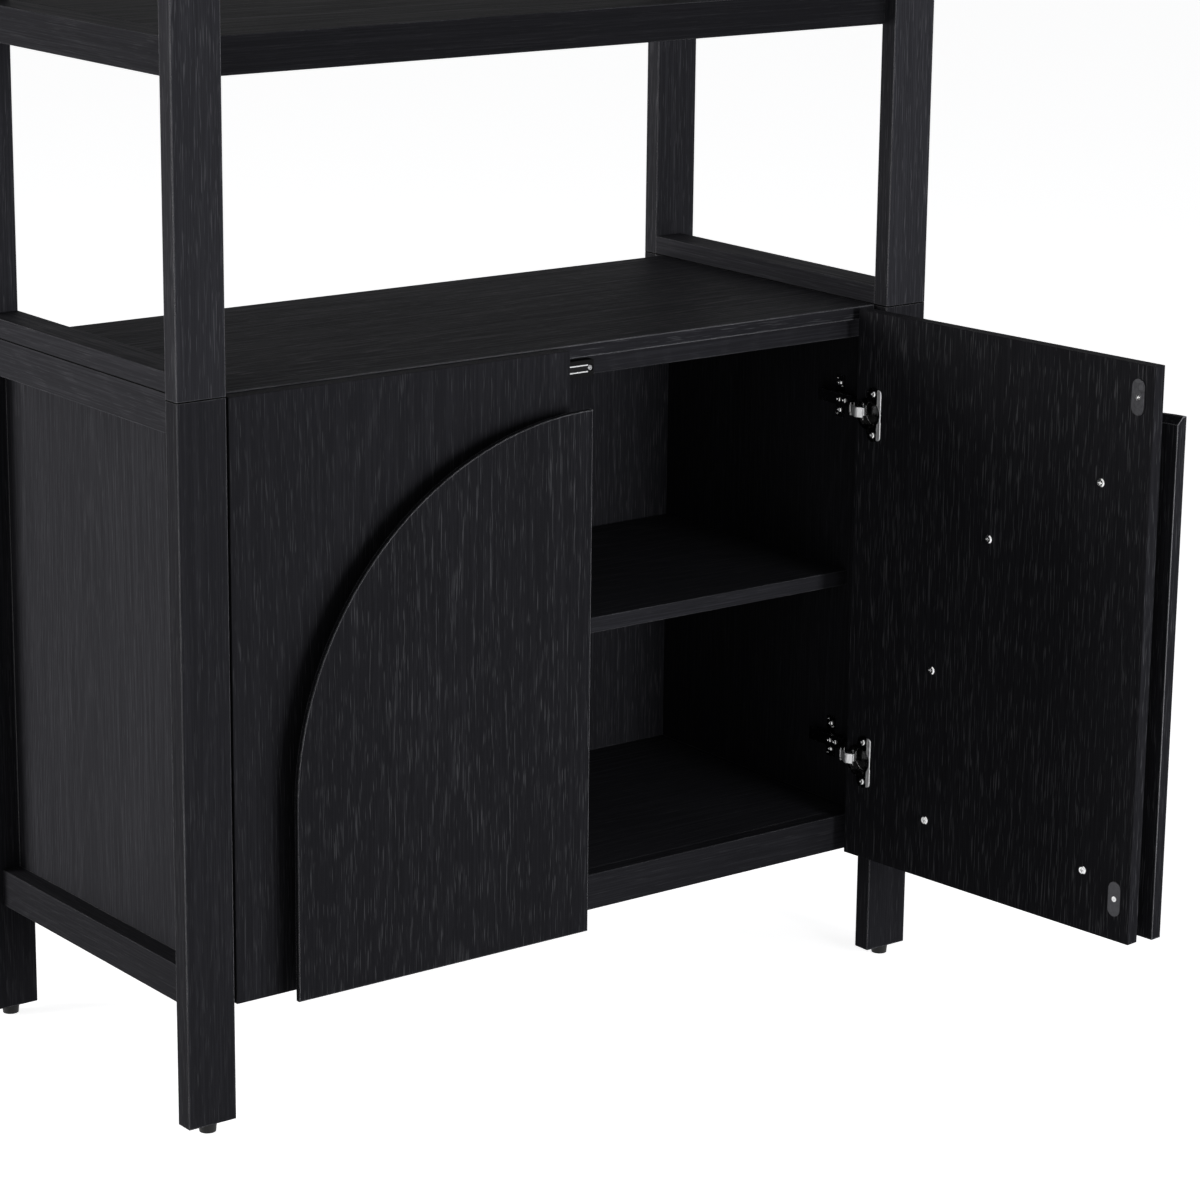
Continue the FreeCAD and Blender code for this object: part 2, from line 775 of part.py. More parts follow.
def rail_dowels(level):
    """The dowels at both ends of the two side rails whose middle is at this height."""
    dowels = []
    for side in SIDES:
        for end in ENDS:
            start = along(end, "post_depth - dowel_length / 2", "post_depth + dowel_length / 2")
            for sign in "-+":
                middle = "rail_recess + rail_thickness / 2"
                x = f"{across(side, middle, middle)} {sign} rail_dowel_spacing / 2"
                dowels.append(rod("dowel_radius", "dowel_length", (x, start, level), "y"))
    return dowels


def make_dowels():
    levels = [
        "glide_height + bottom_rail_underside + bottom_rail_height / 2",
        "seam_height - top_rail_height / 2",
        "seam_height + base_rail_height / 2",
    ]
    for level in range(1, len(SHELF_NAMES) + 1):
        levels.append(f"seam_height + {level} * shelf_pitch - shelf_thickness / 2")
    dowels = []
    for level in levels:
        dowels += rail_dowels(level)
    for side in SIDES:
        for end in ENDS:
            x = across(side, "post_width / 2", "post_width / 2")
            y = along(end, "post_depth / 2", "post_depth / 2")
            for sign in "-+":
                start = (f"{x} {sign} post_dowel_spacing / 2", y, "seam_height - dowel_length / 2")
                dowels.append(rod("dowel_radius", "dowel_length", start))
    group("dowels", dowels)


def make_glides():
    feet = []
    for side in SIDES:
        for end in ENDS:
            x = across(side, "post_width / 2", "post_width / 2")
            y = along(end, "post_depth / 2", "post_depth / 2")
            foot = doc.addObject("Part::Cone", "foot")
            bind(foot, "Radius1", "glide_foot_radius")
            bind(foot, "Radius2", "glide_top_radius")
            bind(foot, "Height", "glide_height")
            place(foot, (x, y, "0"))
            stem = rod("glide_stem_radius", "glide_height + glide_stem_length", (x, y, "0"))
            feet.append(fuse([foot, stem]))
    group("glide_feet", feet)


# Doors: pieces on a door are drawn about the hinge's cup pin, at the foot of the door

def on_door(side, low, high):
    """Lowest local X of a span given by distances from the door's hinge edge."""
    if side == "left":
        return f"({low}) - cup_pin_inset"
    return f"cup_pin_inset - ({high})"


def door_x(side, distance):
    return on_door(side, distance, distance)


INNER_FACE = "cup_pin_depth"
OUTER_FACE = "cup_pin_depth - door_thickness"


def arm_pin_place(side):
    x = across(side, "door_edge_inset + arm_pin_inset", "door_edge_inset + arm_pin_inset")
    return x, "-half_depth + door_thickness + arm_pin_setback"


def link_turn(side):
    """How far the links have turned, towards the inside of the cabinet."""
    return f"(link_turn_at_limit * {side}_door_opening / link_limit_opening)"


def door_place(side):
    """The place of the cup pin when the links have carried the door to its rest opening."""
    arm_x, arm_y = arm_pin_place(side)
    turn = link_turn(side)
    x = f"{arm_x} + {signed(side, f'link_reach_x * cos({turn}) - link_reach_y * sin({turn})')}"
    y = f"{arm_y} + link_reach_x * sin({turn}) + link_reach_y * cos({turn})"
    return (x, y, "door_bottom")


def door_turn(side):
    return f"-{side}_door_opening" if side == "left" else f"{side}_door_opening"


def ride_door(side, thing):
    return place(thing, door_place(side), door_turn(side))


def arch_screw_places():
    """Places of the arch screws: distance from the door's hinge edge, and height."""
    middle_height = "arch_height - arch_radius"
    places = []
    for angle in ("arch_upper_angle", "arch_middle_angle", "arch_lower_angle"):
        places.append((f"arch_edge - arch_screw_circle * cos({angle})",
                       f"{middle_height} + arch_screw_circle * sin({angle})"))
    places.append(("arch_edge - arch_screw_circle", "arch_screw_rise"))
    places.append(("arch_edge - arch_screw_edge", "arch_screw_rise"))
    return places


def strike_levels():
    return ("strike_lower_rise", "door_height - strike_upper_drop")


def flange_screw_places():
    places = []
    for level in hinge_levels():
        for sign in "-+":
            places.append(("flange_screw_inset", f"{level} {sign} flange_screw_spacing / 2"))
    return places


def make_door(side):
    body = new_body(f"door_{side}")
    outline = sketch_on(body, "XY_Plane")
    rectangle(outline, on_door(side, "0", "door_width"), OUTER_FACE, "door_width", "door_thickness")
    blank = pad(body, outline, "door_height")
    round_all(body, blank, "door_arris")
    through = [(door_x(side, a), z) for a, z in arch_screw_places()]
    drill(body, "XZ_Plane", INNER_FACE, through, "arch_screw_hole_radius",
          "door_thickness + arch_standoff", upward=False)
    cups = [(door_x(side, "cup_inset"), z) for z in hinge_levels()]
    drill(body, "XZ_Plane", INNER_FACE, cups, "cup_bore_radius", "cup_depth", upward=False)
    pilots = [(door_x(side, a), z) for a, z in flange_screw_places()]
    pilots += [(door_x(side, "door_width - strike_edge_inset"), z) for z in strike_levels()]
    drill(body, "XZ_Plane", INNER_FACE, pilots, "small_hole_radius",
          "small_hole_depth - flange_thickness", upward=False)
    ride_door(side, body)


def edges_where(feature, test):
    """Names of a feature's edges whose every sampled point passes the test."""
    names = []
    for index, edge in enumerate(feature.Shape.Edges, start=1):
        if all(test(edge, point) for point in edge.discretize(EDGE_SAMPLES)):
            names.append(f"Edge{index}")
    return names


def arch_outline(sketch, side):
    """Straight foot, two upright edges and a quarter circle about the meeting edge."""
    left = side == "left"
    edge = door_x(side, "arch_edge")
    centre_height = "arch_height - arch_radius"
    radius = measure("arch_radius")
    middle = Vector(measure(edge), measure(centre_height), 0)
    meeting_foot = Vector(middle.x, 0, 0)
    meeting_top = middle + Vector(0, radius, 0)
    outer_top = middle + Vector(-radius if left else radius, 0, 0)
    outer_foot = Vector(outer_top.x, 0, 0)
    start = QUARTER_TURN if left else 0
    circle_line = Part.Circle(middle, Vector(0, 0, 1), radius)
    arc = Part.ArcOfCircle(circle_line, radians(start), radians(start + QUARTER_TURN))
    foot = sketch.addGeometry(Part.LineSegment(outer_foot, meeting_foot), False)
    meeting = sketch.addGeometry(Part.LineSegment(meeting_foot, meeting_top), False)
    curve = sketch.addGeometry(arc, False)
    outer = sketch.addGeometry(Part.LineSegment(outer_top, outer_foot), False)
    top_end, outer_end = (FIRST_END, LAST_END) if left else (LAST_END, FIRST_END)
    corners = [
        (foot, LAST_END, meeting, FIRST_END),
        (meeting, LAST_END, curve, top_end),
        (curve, outer_end, outer, FIRST_END),
        (outer, LAST_END, foot, FIRST_END),
    ]
    for refs in corners:
        sketch.addConstraint(Sketcher.Constraint("Coincident", *refs))
    sketch.addConstraint(Sketcher.Constraint("Vertical", meeting))
    sketch.addConstraint(Sketcher.Constraint("Vertical", outer))
    sketch.addConstraint(Sketcher.Constraint("Horizontal", curve, CENTRE, curve, outer_end))
    sketch.addConstraint(Sketcher.Constraint("PointOnObject", foot, FIRST_END, SKETCH_X_AXIS))
    pin_point(sketch, foot, LAST_END, edge, "0")
    pin_point(sketch, curve, CENTRE, edge, centre_height)
    constrain(sketch, "Radius", (curve,), "arch_radius")


def make_arch_panel(side):
    """A quarter-round panel with its back edge bevelled along the curve and the outer side."""
    back = f"{OUTER_FACE} - arch_standoff"
    body = new_body(f"arch_panel_{side}")
    outline = sketch_on(body, "XZ_Plane", back)
    arch_outline(outline, side)
    blank = pad(body, outline, "arch_thickness")
    doc.recompute()
    box = blank.Shape.BoundBox
    foot = box.ZMin
    meeting = box.XMax if side == "left" else box.XMin

    def on_bevel(edge, point):
        in_back = abs(point.y - box.YMax) < EDGE_TOLERANCE
        low = all(abs(end.Z - foot) < EDGE_TOLERANCE for end in edge.Vertexes)
        upright = all(abs(end.X - meeting) < EDGE_TOLERANCE for end in edge.Vertexes)
        return in_back and not low and not upright

    bevel = body.newObject("PartDesign::Chamfer", body.Name + "_bevel")
    bevel.Base = (blank, edges_where(blank, on_bevel))
    bevel.ChamferType = "Two distances"
    bind(bevel, "Size", "arch_bevel_width")
    bind(bevel, "Size2", "arch_bevel_depth")
    doc.recompute()
    front_edges = edges_where(bevel, lambda edge, point: abs(point.y - box.YMin) < EDGE_TOLERANCE)
    arris = body.newObject("PartDesign::Fillet", body.Name + "_arris")
    arris.Base = (bevel, front_edges)
    bind(arris, "Radius", "arch_arris")
    places = [(door_x(side, a), z) for a, z in arch_screw_places()]
    drill(body, "XZ_Plane", back, places, "arch_screw_radius + arch_screw_fit",
          "arch_hole_depth", upward=False)
    ride_door(side, body)


def make_spacers(side):
    spacers = []
    for a, z in arch_screw_places():
        start = (door_x(side, a), f"{OUTER_FACE} - arch_standoff", z)
        tube = rod("spacer_radius", "arch_standoff", start, "y")
        bore = rod("arch_screw_hole_radius", "arch_standoff", start, "y")
        spacers.append(cut(tube, [bore]))
    ride_door(side, group(f"arch_spacers_{side}", spacers))


def make_strikes(side):
    """Round-ended steel plates that meet the magnetic catches."""
    plates = []
    middle = "door_width - strike_edge_inset"
    straight = "(strike_height - strike_width)"
    for level in strike_levels():
        x = on_door(side, f"{middle} - strike_width / 2", f"{middle} + strike_width / 2")
        bottom = f"{level} - {straight} / 2"
        pieces = [block(("strike_width", "strike_thickness", straight), (x, INNER_FACE, bottom))]
        for sign in "-+":
            centre = (door_x(side, middle), INNER_FACE, f"{level} {sign} {straight} / 2")
            pieces.append(rod("strike_width / 2", "strike_thickness", centre, "y"))
        hole = rod("small_hole_radius", "strike_thickness", (door_x(side, middle), INNER_FACE, level), "y")
        sink = doc.addObject("Part::Cone", "sink")
        sink.Placement.Rotation = AXIS_TURNS["y"]
        bind(sink, "Radius1", "small_hole_radius")
        bind(sink, "Radius2", "sunk_head_radius + small_screw_fit")
        bind(sink, "Height", "sunk_head_height")
        place(sink, (door_x(side, middle),
                     f"{INNER_FACE} + strike_thickness - sunk_head_height", level))
        plates.append(cut(fuse(pieces), [hole, sink]))
    ride_door(side, group(f"strike_plates_{side}", plates))


def hinge_cup(side, level):
    """A cup with its screw flange and the pin that the link hangs on."""
    centre_x = door_x(side, "cup_inset")
    bottom = f"{INNER_FACE} - cup_depth"
    shell = rod("cup_radius", "cup_depth", (centre_x, bottom, level), "y")
    rim = rod("flange_radius", "flange_thickness", (centre_x, INNER_FACE, level), "y")
    wing_x = on_door(side, "flange_screw_inset - flange_wing_width / 2",
                     "flange_screw_inset + flange_wing_width / 2")
    straight = "(flange_wing_height - flange_wing_width)"
    pieces = [shell, rim]
    pieces.append(block(("flange_wing_width", "flange_thickness", straight),
                        (wing_x, INNER_FACE, f"{level} - {straight} / 2")))
    holes = []
    for sign in "-+":
        end = (door_x(side, "flange_screw_inset"), INNER_FACE, f"{level} {sign} {straight} / 2")
        pieces.append(rod("flange_wing_width / 2", "flange_thickness", end, "y"))
        screw = (door_x(side, "flange_screw_inset"), INNER_FACE,
                 f"{level} {sign} flange_screw_spacing / 2")
        holes.append(rod("small_hole_radius", "flange_thickness", screw, "y"))
    hollow_bottom = f"{INNER_FACE} - cup_hollow_depth"
    depth = "cup_hollow_depth + flange_thickness"
    holes.append(rod("cup_hollow_radius", depth, (centre_x, hollow_bottom, level), "y"))
    slot_x = on_door(side, "cup_inset - cup_hollow_radius", "cup_inset")
    holes.append(block(("cup_hollow_radius", depth, "cup_slot_height"),
                       (slot_x, hollow_bottom, f"{level} - cup_slot_height / 2")))
    pin = rod("hinge_pin_radius", "cup_pin_length", ("0", "0", f"{level} - cup_pin_length / 2"))
    return fuse([cut(fuse(pieces), holes), pin])


def make_cups(side):
    cups = [hinge_cup(side, level) for level in hinge_levels()]
    ride_door(side, group(f"hinge_cups_{side}", cups))


def make_door_screws(side, long_screw, short_screw, flush_screw):
    """Arch screws, flange screws and strike screws, all with their heads inside the cabinet."""
    seats = [(door_x(side, a), INNER_FACE, z) for a, z in arch_screw_places()]
    arch_screws = [copy_of(long_screw, seat, "+y") for seat in seats]
    ride_door(side, group(f"arch_screws_{side}", arch_screws))
    plate_face = f"{INNER_FACE} + flange_thickness"
    seats = [(door_x(side, a), plate_face, z) for a, z in flange_screw_places()]
    short_screws = [copy_of(short_screw, seat, "+y") for seat in seats]
    strike_face = f"{INNER_FACE} + strike_thickness"
    middle = door_x(side, "door_width - strike_edge_inset")
    for level in strike_levels():
        short_screws.append(copy_of(flush_screw, (middle, strike_face, level), "+y"))
    ride_door(side, group(f"door_fitting_screws_{side}", short_screws))


# Hinge links, arms and mounting plates

def make_links(side):
    """The cranked links between cups and arms, each with its own pin at the arm's end.

    They are drawn about the arm's pin in the closed pose.
    """
    cup_x = signed(side, "link_reach_x")
    points = [
        ("0", "0"),
        (signed(side, "link_reach_x + link_outer_knee_reach"), "link_reach_y - link_outer_knee_drop"),
        (signed(side, "link_reach_x + link_inner_knee_reach"), "link_reach_y - link_inner_knee_drop"),
        (cup_x, "link_reach_y"),
    ]
    links = []
    for level in hinge_levels():
        bottom = f"{level} - link_height / 2"
        pieces = bar(points, "link_thickness", "link_height", bottom)
        for x, y in (points[0], points[-1]):
            pieces.append(rod("link_eye_radius", "link_height", (x, y, bottom)))
        hole = rod("hinge_pin_radius + hinge_pin_clearance", "link_height", (cup_x, "link_reach_y", bottom))
        links.append(cut(fuse(pieces), [hole]))
    arm_x, arm_y = arm_pin_place(side)
    turn = link_turn(side) if side == "left" else "-" + link_turn(side)
    group(f"hinge_links_{side}", links, (arm_x, arm_y, "door_bottom"), turn)


def side_arms(side):
    """Hinge arms: a bar from the saddle to the links, forked around the ends of the links."""
    arms = []
    arm_x, arm_y = arm_pin_place(side)
    root_x = across(side, "door_edge_inset + arm_root_inset", "door_edge_inset + arm_root_inset")
    knee = (root_x, "-half_depth + arm_knee_setback")
    rear = (root_x, "-half_depth + arm_rear_setback")
    for level in hinge_levels():
        bottom = f"door_bottom + {level} - arm_height / 2"
        whole = fuse(bar([(arm_x, arm_y), knee, rear], "arm_thickness", "arm_height", bottom))
        slot_bottom = f"{bottom} + arm_cheek_height"
        slot_height = "arm_height - 2 * arm_cheek_height"
        clearance = rod("arm_slot_radius", slot_height, (arm_x, arm_y, slot_bottom))
        arms.append(cut(whole, [clearance]))
    return arms


def make_plates():
    """Mounting plates on the side panels, each with the saddle that its arm is screwed to."""
    plates = []
    for side in SIDES:
        plate_x = across(side, "panel_inner_inset", "panel_inner_inset + plate_thickness")
        saddle_x = across(side, "panel_inner_inset", "panel_inner_inset + saddle_depth")
        for level in hinge_levels():
            middle = f"door_bottom + {level}"
            wing = block(("plate_thickness", "plate_width", "plate_height"),
                         (plate_x, "-half_depth + plate_setback - plate_width / 2",
                          f"{middle} - plate_height / 2"))
            saddle = block(("saddle_depth", "saddle_length", "saddle_height"),
                           (saddle_x, "-half_depth + arm_rear_setback - saddle_length",
                            f"{middle} - saddle_height / 2"))
            holes = []
            for sign in "-+":
                start = (plate_x, "-half_depth + plate_setback",
                         f"{middle} {sign} plate_screw_spacing / 2")
                holes.append(rod("small_hole_radius", "plate_thickness", start, "x"))
            plates.append(cut(fuse([wing, saddle]), holes))
    group("hinge_plates", plates)


def make_plate_screws(screw):
    screws = []
    for side in SIDES:
        inset = "panel_inner_inset + plate_thickness"
        for y, z in plate_screw_places():
            seat = (across(side, inset, inset), f"-half_depth + {y}", z)
            screws.append(copy_of(screw, seat, "+x" if side == "left" else "-x"))
    group("hinge_plate_screws", screws)


# Magnetic catches

def magnet_stacks(upper):
    """Lowest corners of the stacks of pole strip, magnet and pole strip, one for each door."""
    x = [f"{sign} catch_spacing / 2 - pole_width / 2" for sign in ("-", "")]
    bottom = f"{catch_level(upper)} - catch_pitch / 2 - pole_thickness / 2"
    return [(start, bottom) for start in x]


def catch_housing(upper):
    front = "-half_depth + catch_front"
    middle = catch_level(upper)
    bottom = f"{middle} - catch_height / 2"
    depth = "batten_setback - catch_front"
    body = block(("catch_width", depth, "catch_height"), ("-catch_width / 2", front, bottom))
    tools = []
    seat = ("pole_width + 2 * pole_fit", "pole_depth - pole_proud + pole_fit",
            "magnet_height + 2 * pole_thickness + 2 * pole_fit")
    for x, z in magnet_stacks(upper):
        tools.append(block(seat, (f"{x} - pole_fit", front, f"{z} - pole_fit")))
    if upper:
        for sign in "-+":
            hole = (f"{sign}catch_screw_spacing / 2", front, middle)
            tools.append(rod("small_hole_radius", depth, hole, "y"))
            tools.append(rod("catch_screw_sink_radius", "catch_screw_sinking", hole, "y"))
        return cut(body, tools)
    foot = block(("catch_width", "catch_foot_depth", "catch_foot_height"),
                 ("-catch_width / 2", "-half_depth + batten_setback", bottom))
    for sign in "-+":
        hole = (f"{sign}catch_screw_spacing / 2",
                "-half_depth + batten_setback + catch_foot_depth / 2", bottom)
        tools.append(rod("small_hole_radius", "catch_foot_height", hole))
    return cut(fuse([body, foot]), tools)


def make_catches(screw):
    poles = []
    magnets = []
    screws = []
    front = "-half_depth + pole_front"
    for upper in (True, False):
        for x, z in magnet_stacks(upper):
            for lift in ("0", "catch_pitch"):
                poles.append(block(("pole_width", "pole_depth", "pole_thickness"),
                                   (x, front, f"{z} + {lift}")))
            magnets.append(block(("pole_width", "pole_depth - magnet_recess", "magnet_height"),
                                 (x, f"{front} + magnet_recess", f"{z} + pole_thickness")))
    for sign in "-+":
        x = f"{sign}catch_screw_spacing / 2"
        upper_seat = (x, "-half_depth + catch_front + catch_screw_sinking", catch_level(True))
        screws.append(copy_of(screw, upper_seat, "-y"))
        foot_middle = "-half_depth + batten_setback + catch_foot_depth / 2"
        screws.append(copy_of(screw, (x, foot_middle, "floor_top + catch_foot_height"), "+z"))
    group("catch_housings", [catch_housing(True), catch_housing(False)])
    group("catch_pole_strips", poles)
    group("catch_magnets", magnets)
    group("catch_screws", screws)


def check_document():
    """Stops if a feature failed, a pocket cut nothing or a piece is not a valid solid."""
    for thing in doc.Objects:
        if "Invalid" in thing.State or "Error" in thing.State:
            raise RuntimeError(f"{thing.Label} failed: {thing.State}")
        if thing.isDerivedFrom("PartDesign::Pocket"):
            if thing.Shape.Volume >= thing.BaseFeature.Shape.Volume:
                raise RuntimeError(f"{thing.Label} removes nothing")
    for piece in nodes:
        if piece.Shape.isNull() or not piece.Shape.isValid() or not piece.Shape.Solids:
            raise RuntimeError(f"{piece.Label} is not a valid solid")


def write_parts():
    os.makedirs("parts", exist_ok=True)
    for piece in nodes:
        piece.Shape.exportStep(os.path.join("parts", piece.Label + ".step"))
        print(piece.Label, len(piece.Shape.Solids))
    print(len(nodes), "nodes")


make_frame()
make_shelves()
make_carcass()
make_shelf_pins()
make_dowels()
make_glides()
arch_screw = pan_head_screw("arch_screw", "arch_screw_radius", "arch_screw_length",
                            "pan_head_radius", "pan_head_height")
catch_screw = pan_head_screw("catch_screw", "small_screw_radius", "catch_screw_length",
                             "small_head_radius", "small_head_height")
small_screw = pan_head_screw("small_screw", "small_screw_radius", "small_screw_length",
                             "small_head_radius", "small_head_height")
strike_screw = sunk_screw("strike_screw", "small_screw_radius", "small_screw_length",
                          "sunk_head_radius", "sunk_head_height")
for door_side in SIDES:
    make_door(door_side)
    make_arch_panel(door_side)
    make_spacers(door_side)
    make_strikes(door_side)
    make_cups(door_side)
    make_door_screws(door_side, arch_screw, small_screw, strike_screw)
    make_links(door_side)
group("hinge_arms", side_arms("left") + side_arms("right"))
make_plates()
make_plate_screws(small_screw)
make_catches(catch_screw)
doc.recompute()
check_document()
write_parts()
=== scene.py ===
from math import cos, pi, radians, sin

import bmesh
import bpy
from mathutils import Matrix, Vector


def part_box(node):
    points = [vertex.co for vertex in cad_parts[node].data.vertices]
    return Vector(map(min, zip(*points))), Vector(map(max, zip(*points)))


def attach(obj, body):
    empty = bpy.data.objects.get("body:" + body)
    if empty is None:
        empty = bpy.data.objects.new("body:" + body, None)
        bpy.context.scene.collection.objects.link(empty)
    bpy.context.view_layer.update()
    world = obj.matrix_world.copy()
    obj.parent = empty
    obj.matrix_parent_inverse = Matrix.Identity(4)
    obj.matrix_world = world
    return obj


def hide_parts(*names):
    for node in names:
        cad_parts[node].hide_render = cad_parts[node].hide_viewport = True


# Looks of the bookcase cabinet: black-stained oak with nickel-plated ironmongery.
# Lengths are in metres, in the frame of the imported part, except where a comment says millimetres.

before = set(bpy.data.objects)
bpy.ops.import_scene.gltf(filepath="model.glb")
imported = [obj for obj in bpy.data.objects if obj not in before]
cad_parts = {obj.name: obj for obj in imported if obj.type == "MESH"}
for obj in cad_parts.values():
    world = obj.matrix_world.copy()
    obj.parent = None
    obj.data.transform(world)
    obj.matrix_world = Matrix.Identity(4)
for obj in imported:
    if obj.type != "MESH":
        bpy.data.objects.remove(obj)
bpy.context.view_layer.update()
scene = bpy.context.scene

MM = 0.001
SIDES = ("left", "right")
RIGHT_DOOR_TURN = radians(96.0)
WHITE = (1.0, 1.0, 1.0, 1.0)


# Camera, at the viewing angle of the photograph

CAMERA_PLACE = Vector((-2.4314, -3.4529, 1.5897))
CAMERA_YAW = radians(37.38)
CAMERA_PITCH = radians(14.94)
CAMERA_ROLL = radians(-0.65)
FOCAL_PIXELS = 3825.3
FRAME_PIXELS = 1200
SENSOR_WIDTH = 36.0
FARTHEST_SEEN = 100.0


def make_camera():
    data = bpy.data.cameras.new("camera")
    data.sensor_width = SENSOR_WIDTH
    data.lens = SENSOR_WIDTH * FOCAL_PIXELS / FRAME_PIXELS
    data.clip_end = FARTHEST_SEEN
    forward = Vector((sin(CAMERA_YAW) * cos(CAMERA_PITCH),
                      cos(CAMERA_YAW) * cos(CAMERA_PITCH), -sin(CAMERA_PITCH)))
    level_right = Vector((cos(CAMERA_YAW), -sin(CAMERA_YAW), 0.0))
    level_down = forward.cross(level_right)
    right = cos(CAMERA_ROLL) * level_right + sin(CAMERA_ROLL) * level_down
    down = -sin(CAMERA_ROLL) * level_right + cos(CAMERA_ROLL) * level_down
    turn = Matrix((right, -down, -forward)).transposed()
    camera = bpy.data.objects.new("camera", data)
    camera.matrix_world = Matrix.Translation(CAMERA_PLACE) @ turn.to_4x4()
    scene.collection.objects.link(camera)
    scene.camera = camera


# Studio: plain floor, white surroundings and soft lamps

FLOOR_SIZE = 30.0
FLOOR_COLOUR = (0.80, 0.80, 0.80, 1.0)
FLOOR_LIFT = 0.85
ROOM_COLOUR = (0.96, 0.97, 1.0, 1.0)
ROOM_STRENGTH = 0.28
CEILING_STRENGTH = 0.08
WARM_LIGHT = (1.0, 0.99, 0.97)
COOL_LIGHT = (0.96, 0.97, 1.0)
# each lamp's place, the point it faces, its width and height, its power in watts and its colour
LAMPS = {
    "left_lamp": ((-4.2, 2.0, 1.3), (-0.5, 0.0, 0.9), (2.0, 2.4), 200.0, WARM_LIGHT),
    "right_lamp": ((2.8, -4.2, 1.3), (0.0, 0.0, 0.9), (1.6, 2.0), 50.0, COOL_LIGHT),
    "front_lamp": ((0.5, -4.2, 1.1), (0.0, 0.0, 0.8), (1.6, 1.6), 85.0, COOL_LIGHT),
}


def seen_directly(tree):
    """One for rays that come from the camera, a reflection or glass, and nought for the rest."""
    path = tree.nodes.new("ShaderNodeLightPath")
    total = path.outputs["Is Camera Ray"]
    for ray in ("Is Glossy Ray", "Is Transmission Ray"):
        larger = tree.nodes.new("ShaderNodeMath")
        larger.operation = "MAXIMUM"
        tree.links.new(total, larger.inputs[0])
        tree.links.new(path.outputs[ray], larger.inputs[1])
        total = larger.outputs[0]
    return total


def make_world():
    """A dim room that lights the part, darker overhead, and a white one for what is seen."""
    world = bpy.data.worlds.new("studio")
    world.use_nodes = True
    tree = world.node_tree
    tree.nodes.clear()
    room = tree.nodes.new("ShaderNodeBackground")
    room.inputs["Color"].default_value = ROOM_COLOUR
    direction = tree.nodes.new("ShaderNodeTexCoord")
    split = tree.nodes.new("ShaderNodeSeparateXYZ")
    fall = tree.nodes.new("ShaderNodeMapRange")
    fall.inputs["To Min"].default_value = ROOM_STRENGTH
    fall.inputs["To Max"].default_value = CEILING_STRENGTH
    tree.links.new(direction.outputs["Generated"], split.inputs[0])
    tree.links.new(split.outputs["Z"], fall.inputs["Value"])
    tree.links.new(fall.outputs["Result"], room.inputs["Strength"])
    backdrop = tree.nodes.new("ShaderNodeBackground")
    backdrop.inputs["Color"].default_value = WHITE
    mix = tree.nodes.new("ShaderNodeMixShader")
    output = tree.nodes.new("ShaderNodeOutputWorld")
    tree.links.new(seen_directly(tree), mix.inputs[0])
    tree.links.new(room.outputs[0], mix.inputs[1])
    tree.links.new(backdrop.outputs[0], mix.inputs[2])
    tree.links.new(mix.outputs[0], output.inputs[0])
    scene.world = world


def make_floor():
    """A pale floor that shows as white as the backdrop, with the part's shadows on it."""
    half = FLOOR_SIZE / 2
    mesh = bpy.data.meshes.new("floor")
    mesh.from_pydata([(-half, -half, 0), (half, -half, 0), (half, half, 0), (-half, half, 0)],
                     [], [(0, 1, 2, 3)])
    floor = bpy.data.objects.new("floor", mesh)
    scene.collection.objects.link(floor)
    material = bpy.data.materials.new("floor")
    material.use_nodes = True
    tree = material.node_tree
    tree.nodes.clear()
    surface = tree.nodes.new("ShaderNodeBsdfDiffuse")
    surface.inputs["Color"].default_value = FLOOR_COLOUR
    lift = tree.nodes.new("ShaderNodeEmission")
    strength = tree.nodes.new("ShaderNodeMath")
    strength.operation = "MULTIPLY"
    strength.inputs[1].default_value = FLOOR_LIFT
    add = tree.nodes.new("ShaderNodeAddShader")
    output = tree.nodes.new("ShaderNodeOutputMaterial")
    tree.links.new(seen_directly(tree), strength.inputs[0])
    tree.links.new(strength.outputs[0], lift.inputs["Strength"])
    tree.links.new(surface.outputs[0], add.inputs[0])
    tree.links.new(lift.outputs[0], add.inputs[1])
    tree.links.new(add.outputs[0], output.inputs[0])
    mesh.materials.append(material)


def make_lamps():
    for name, (place, aim, size, power, colour) in LAMPS.items():
        data = bpy.data.lights.new(name, "AREA")
        data.shape = "RECTANGLE"
        data.size, data.size_y = size
        data.energy = power
        data.color = colour
        lamp = bpy.data.objects.new(name, data)
        lamp.location = place
        lamp.rotation_mode = "QUATERNION"
        lamp.rotation_quaternion = (Vector(aim) - Vector(place)).to_track_quat("-Z", "Y")
        scene.collection.objects.link(lamp)


# Node trees of the materials

BEVEL_SAMPLES = 6


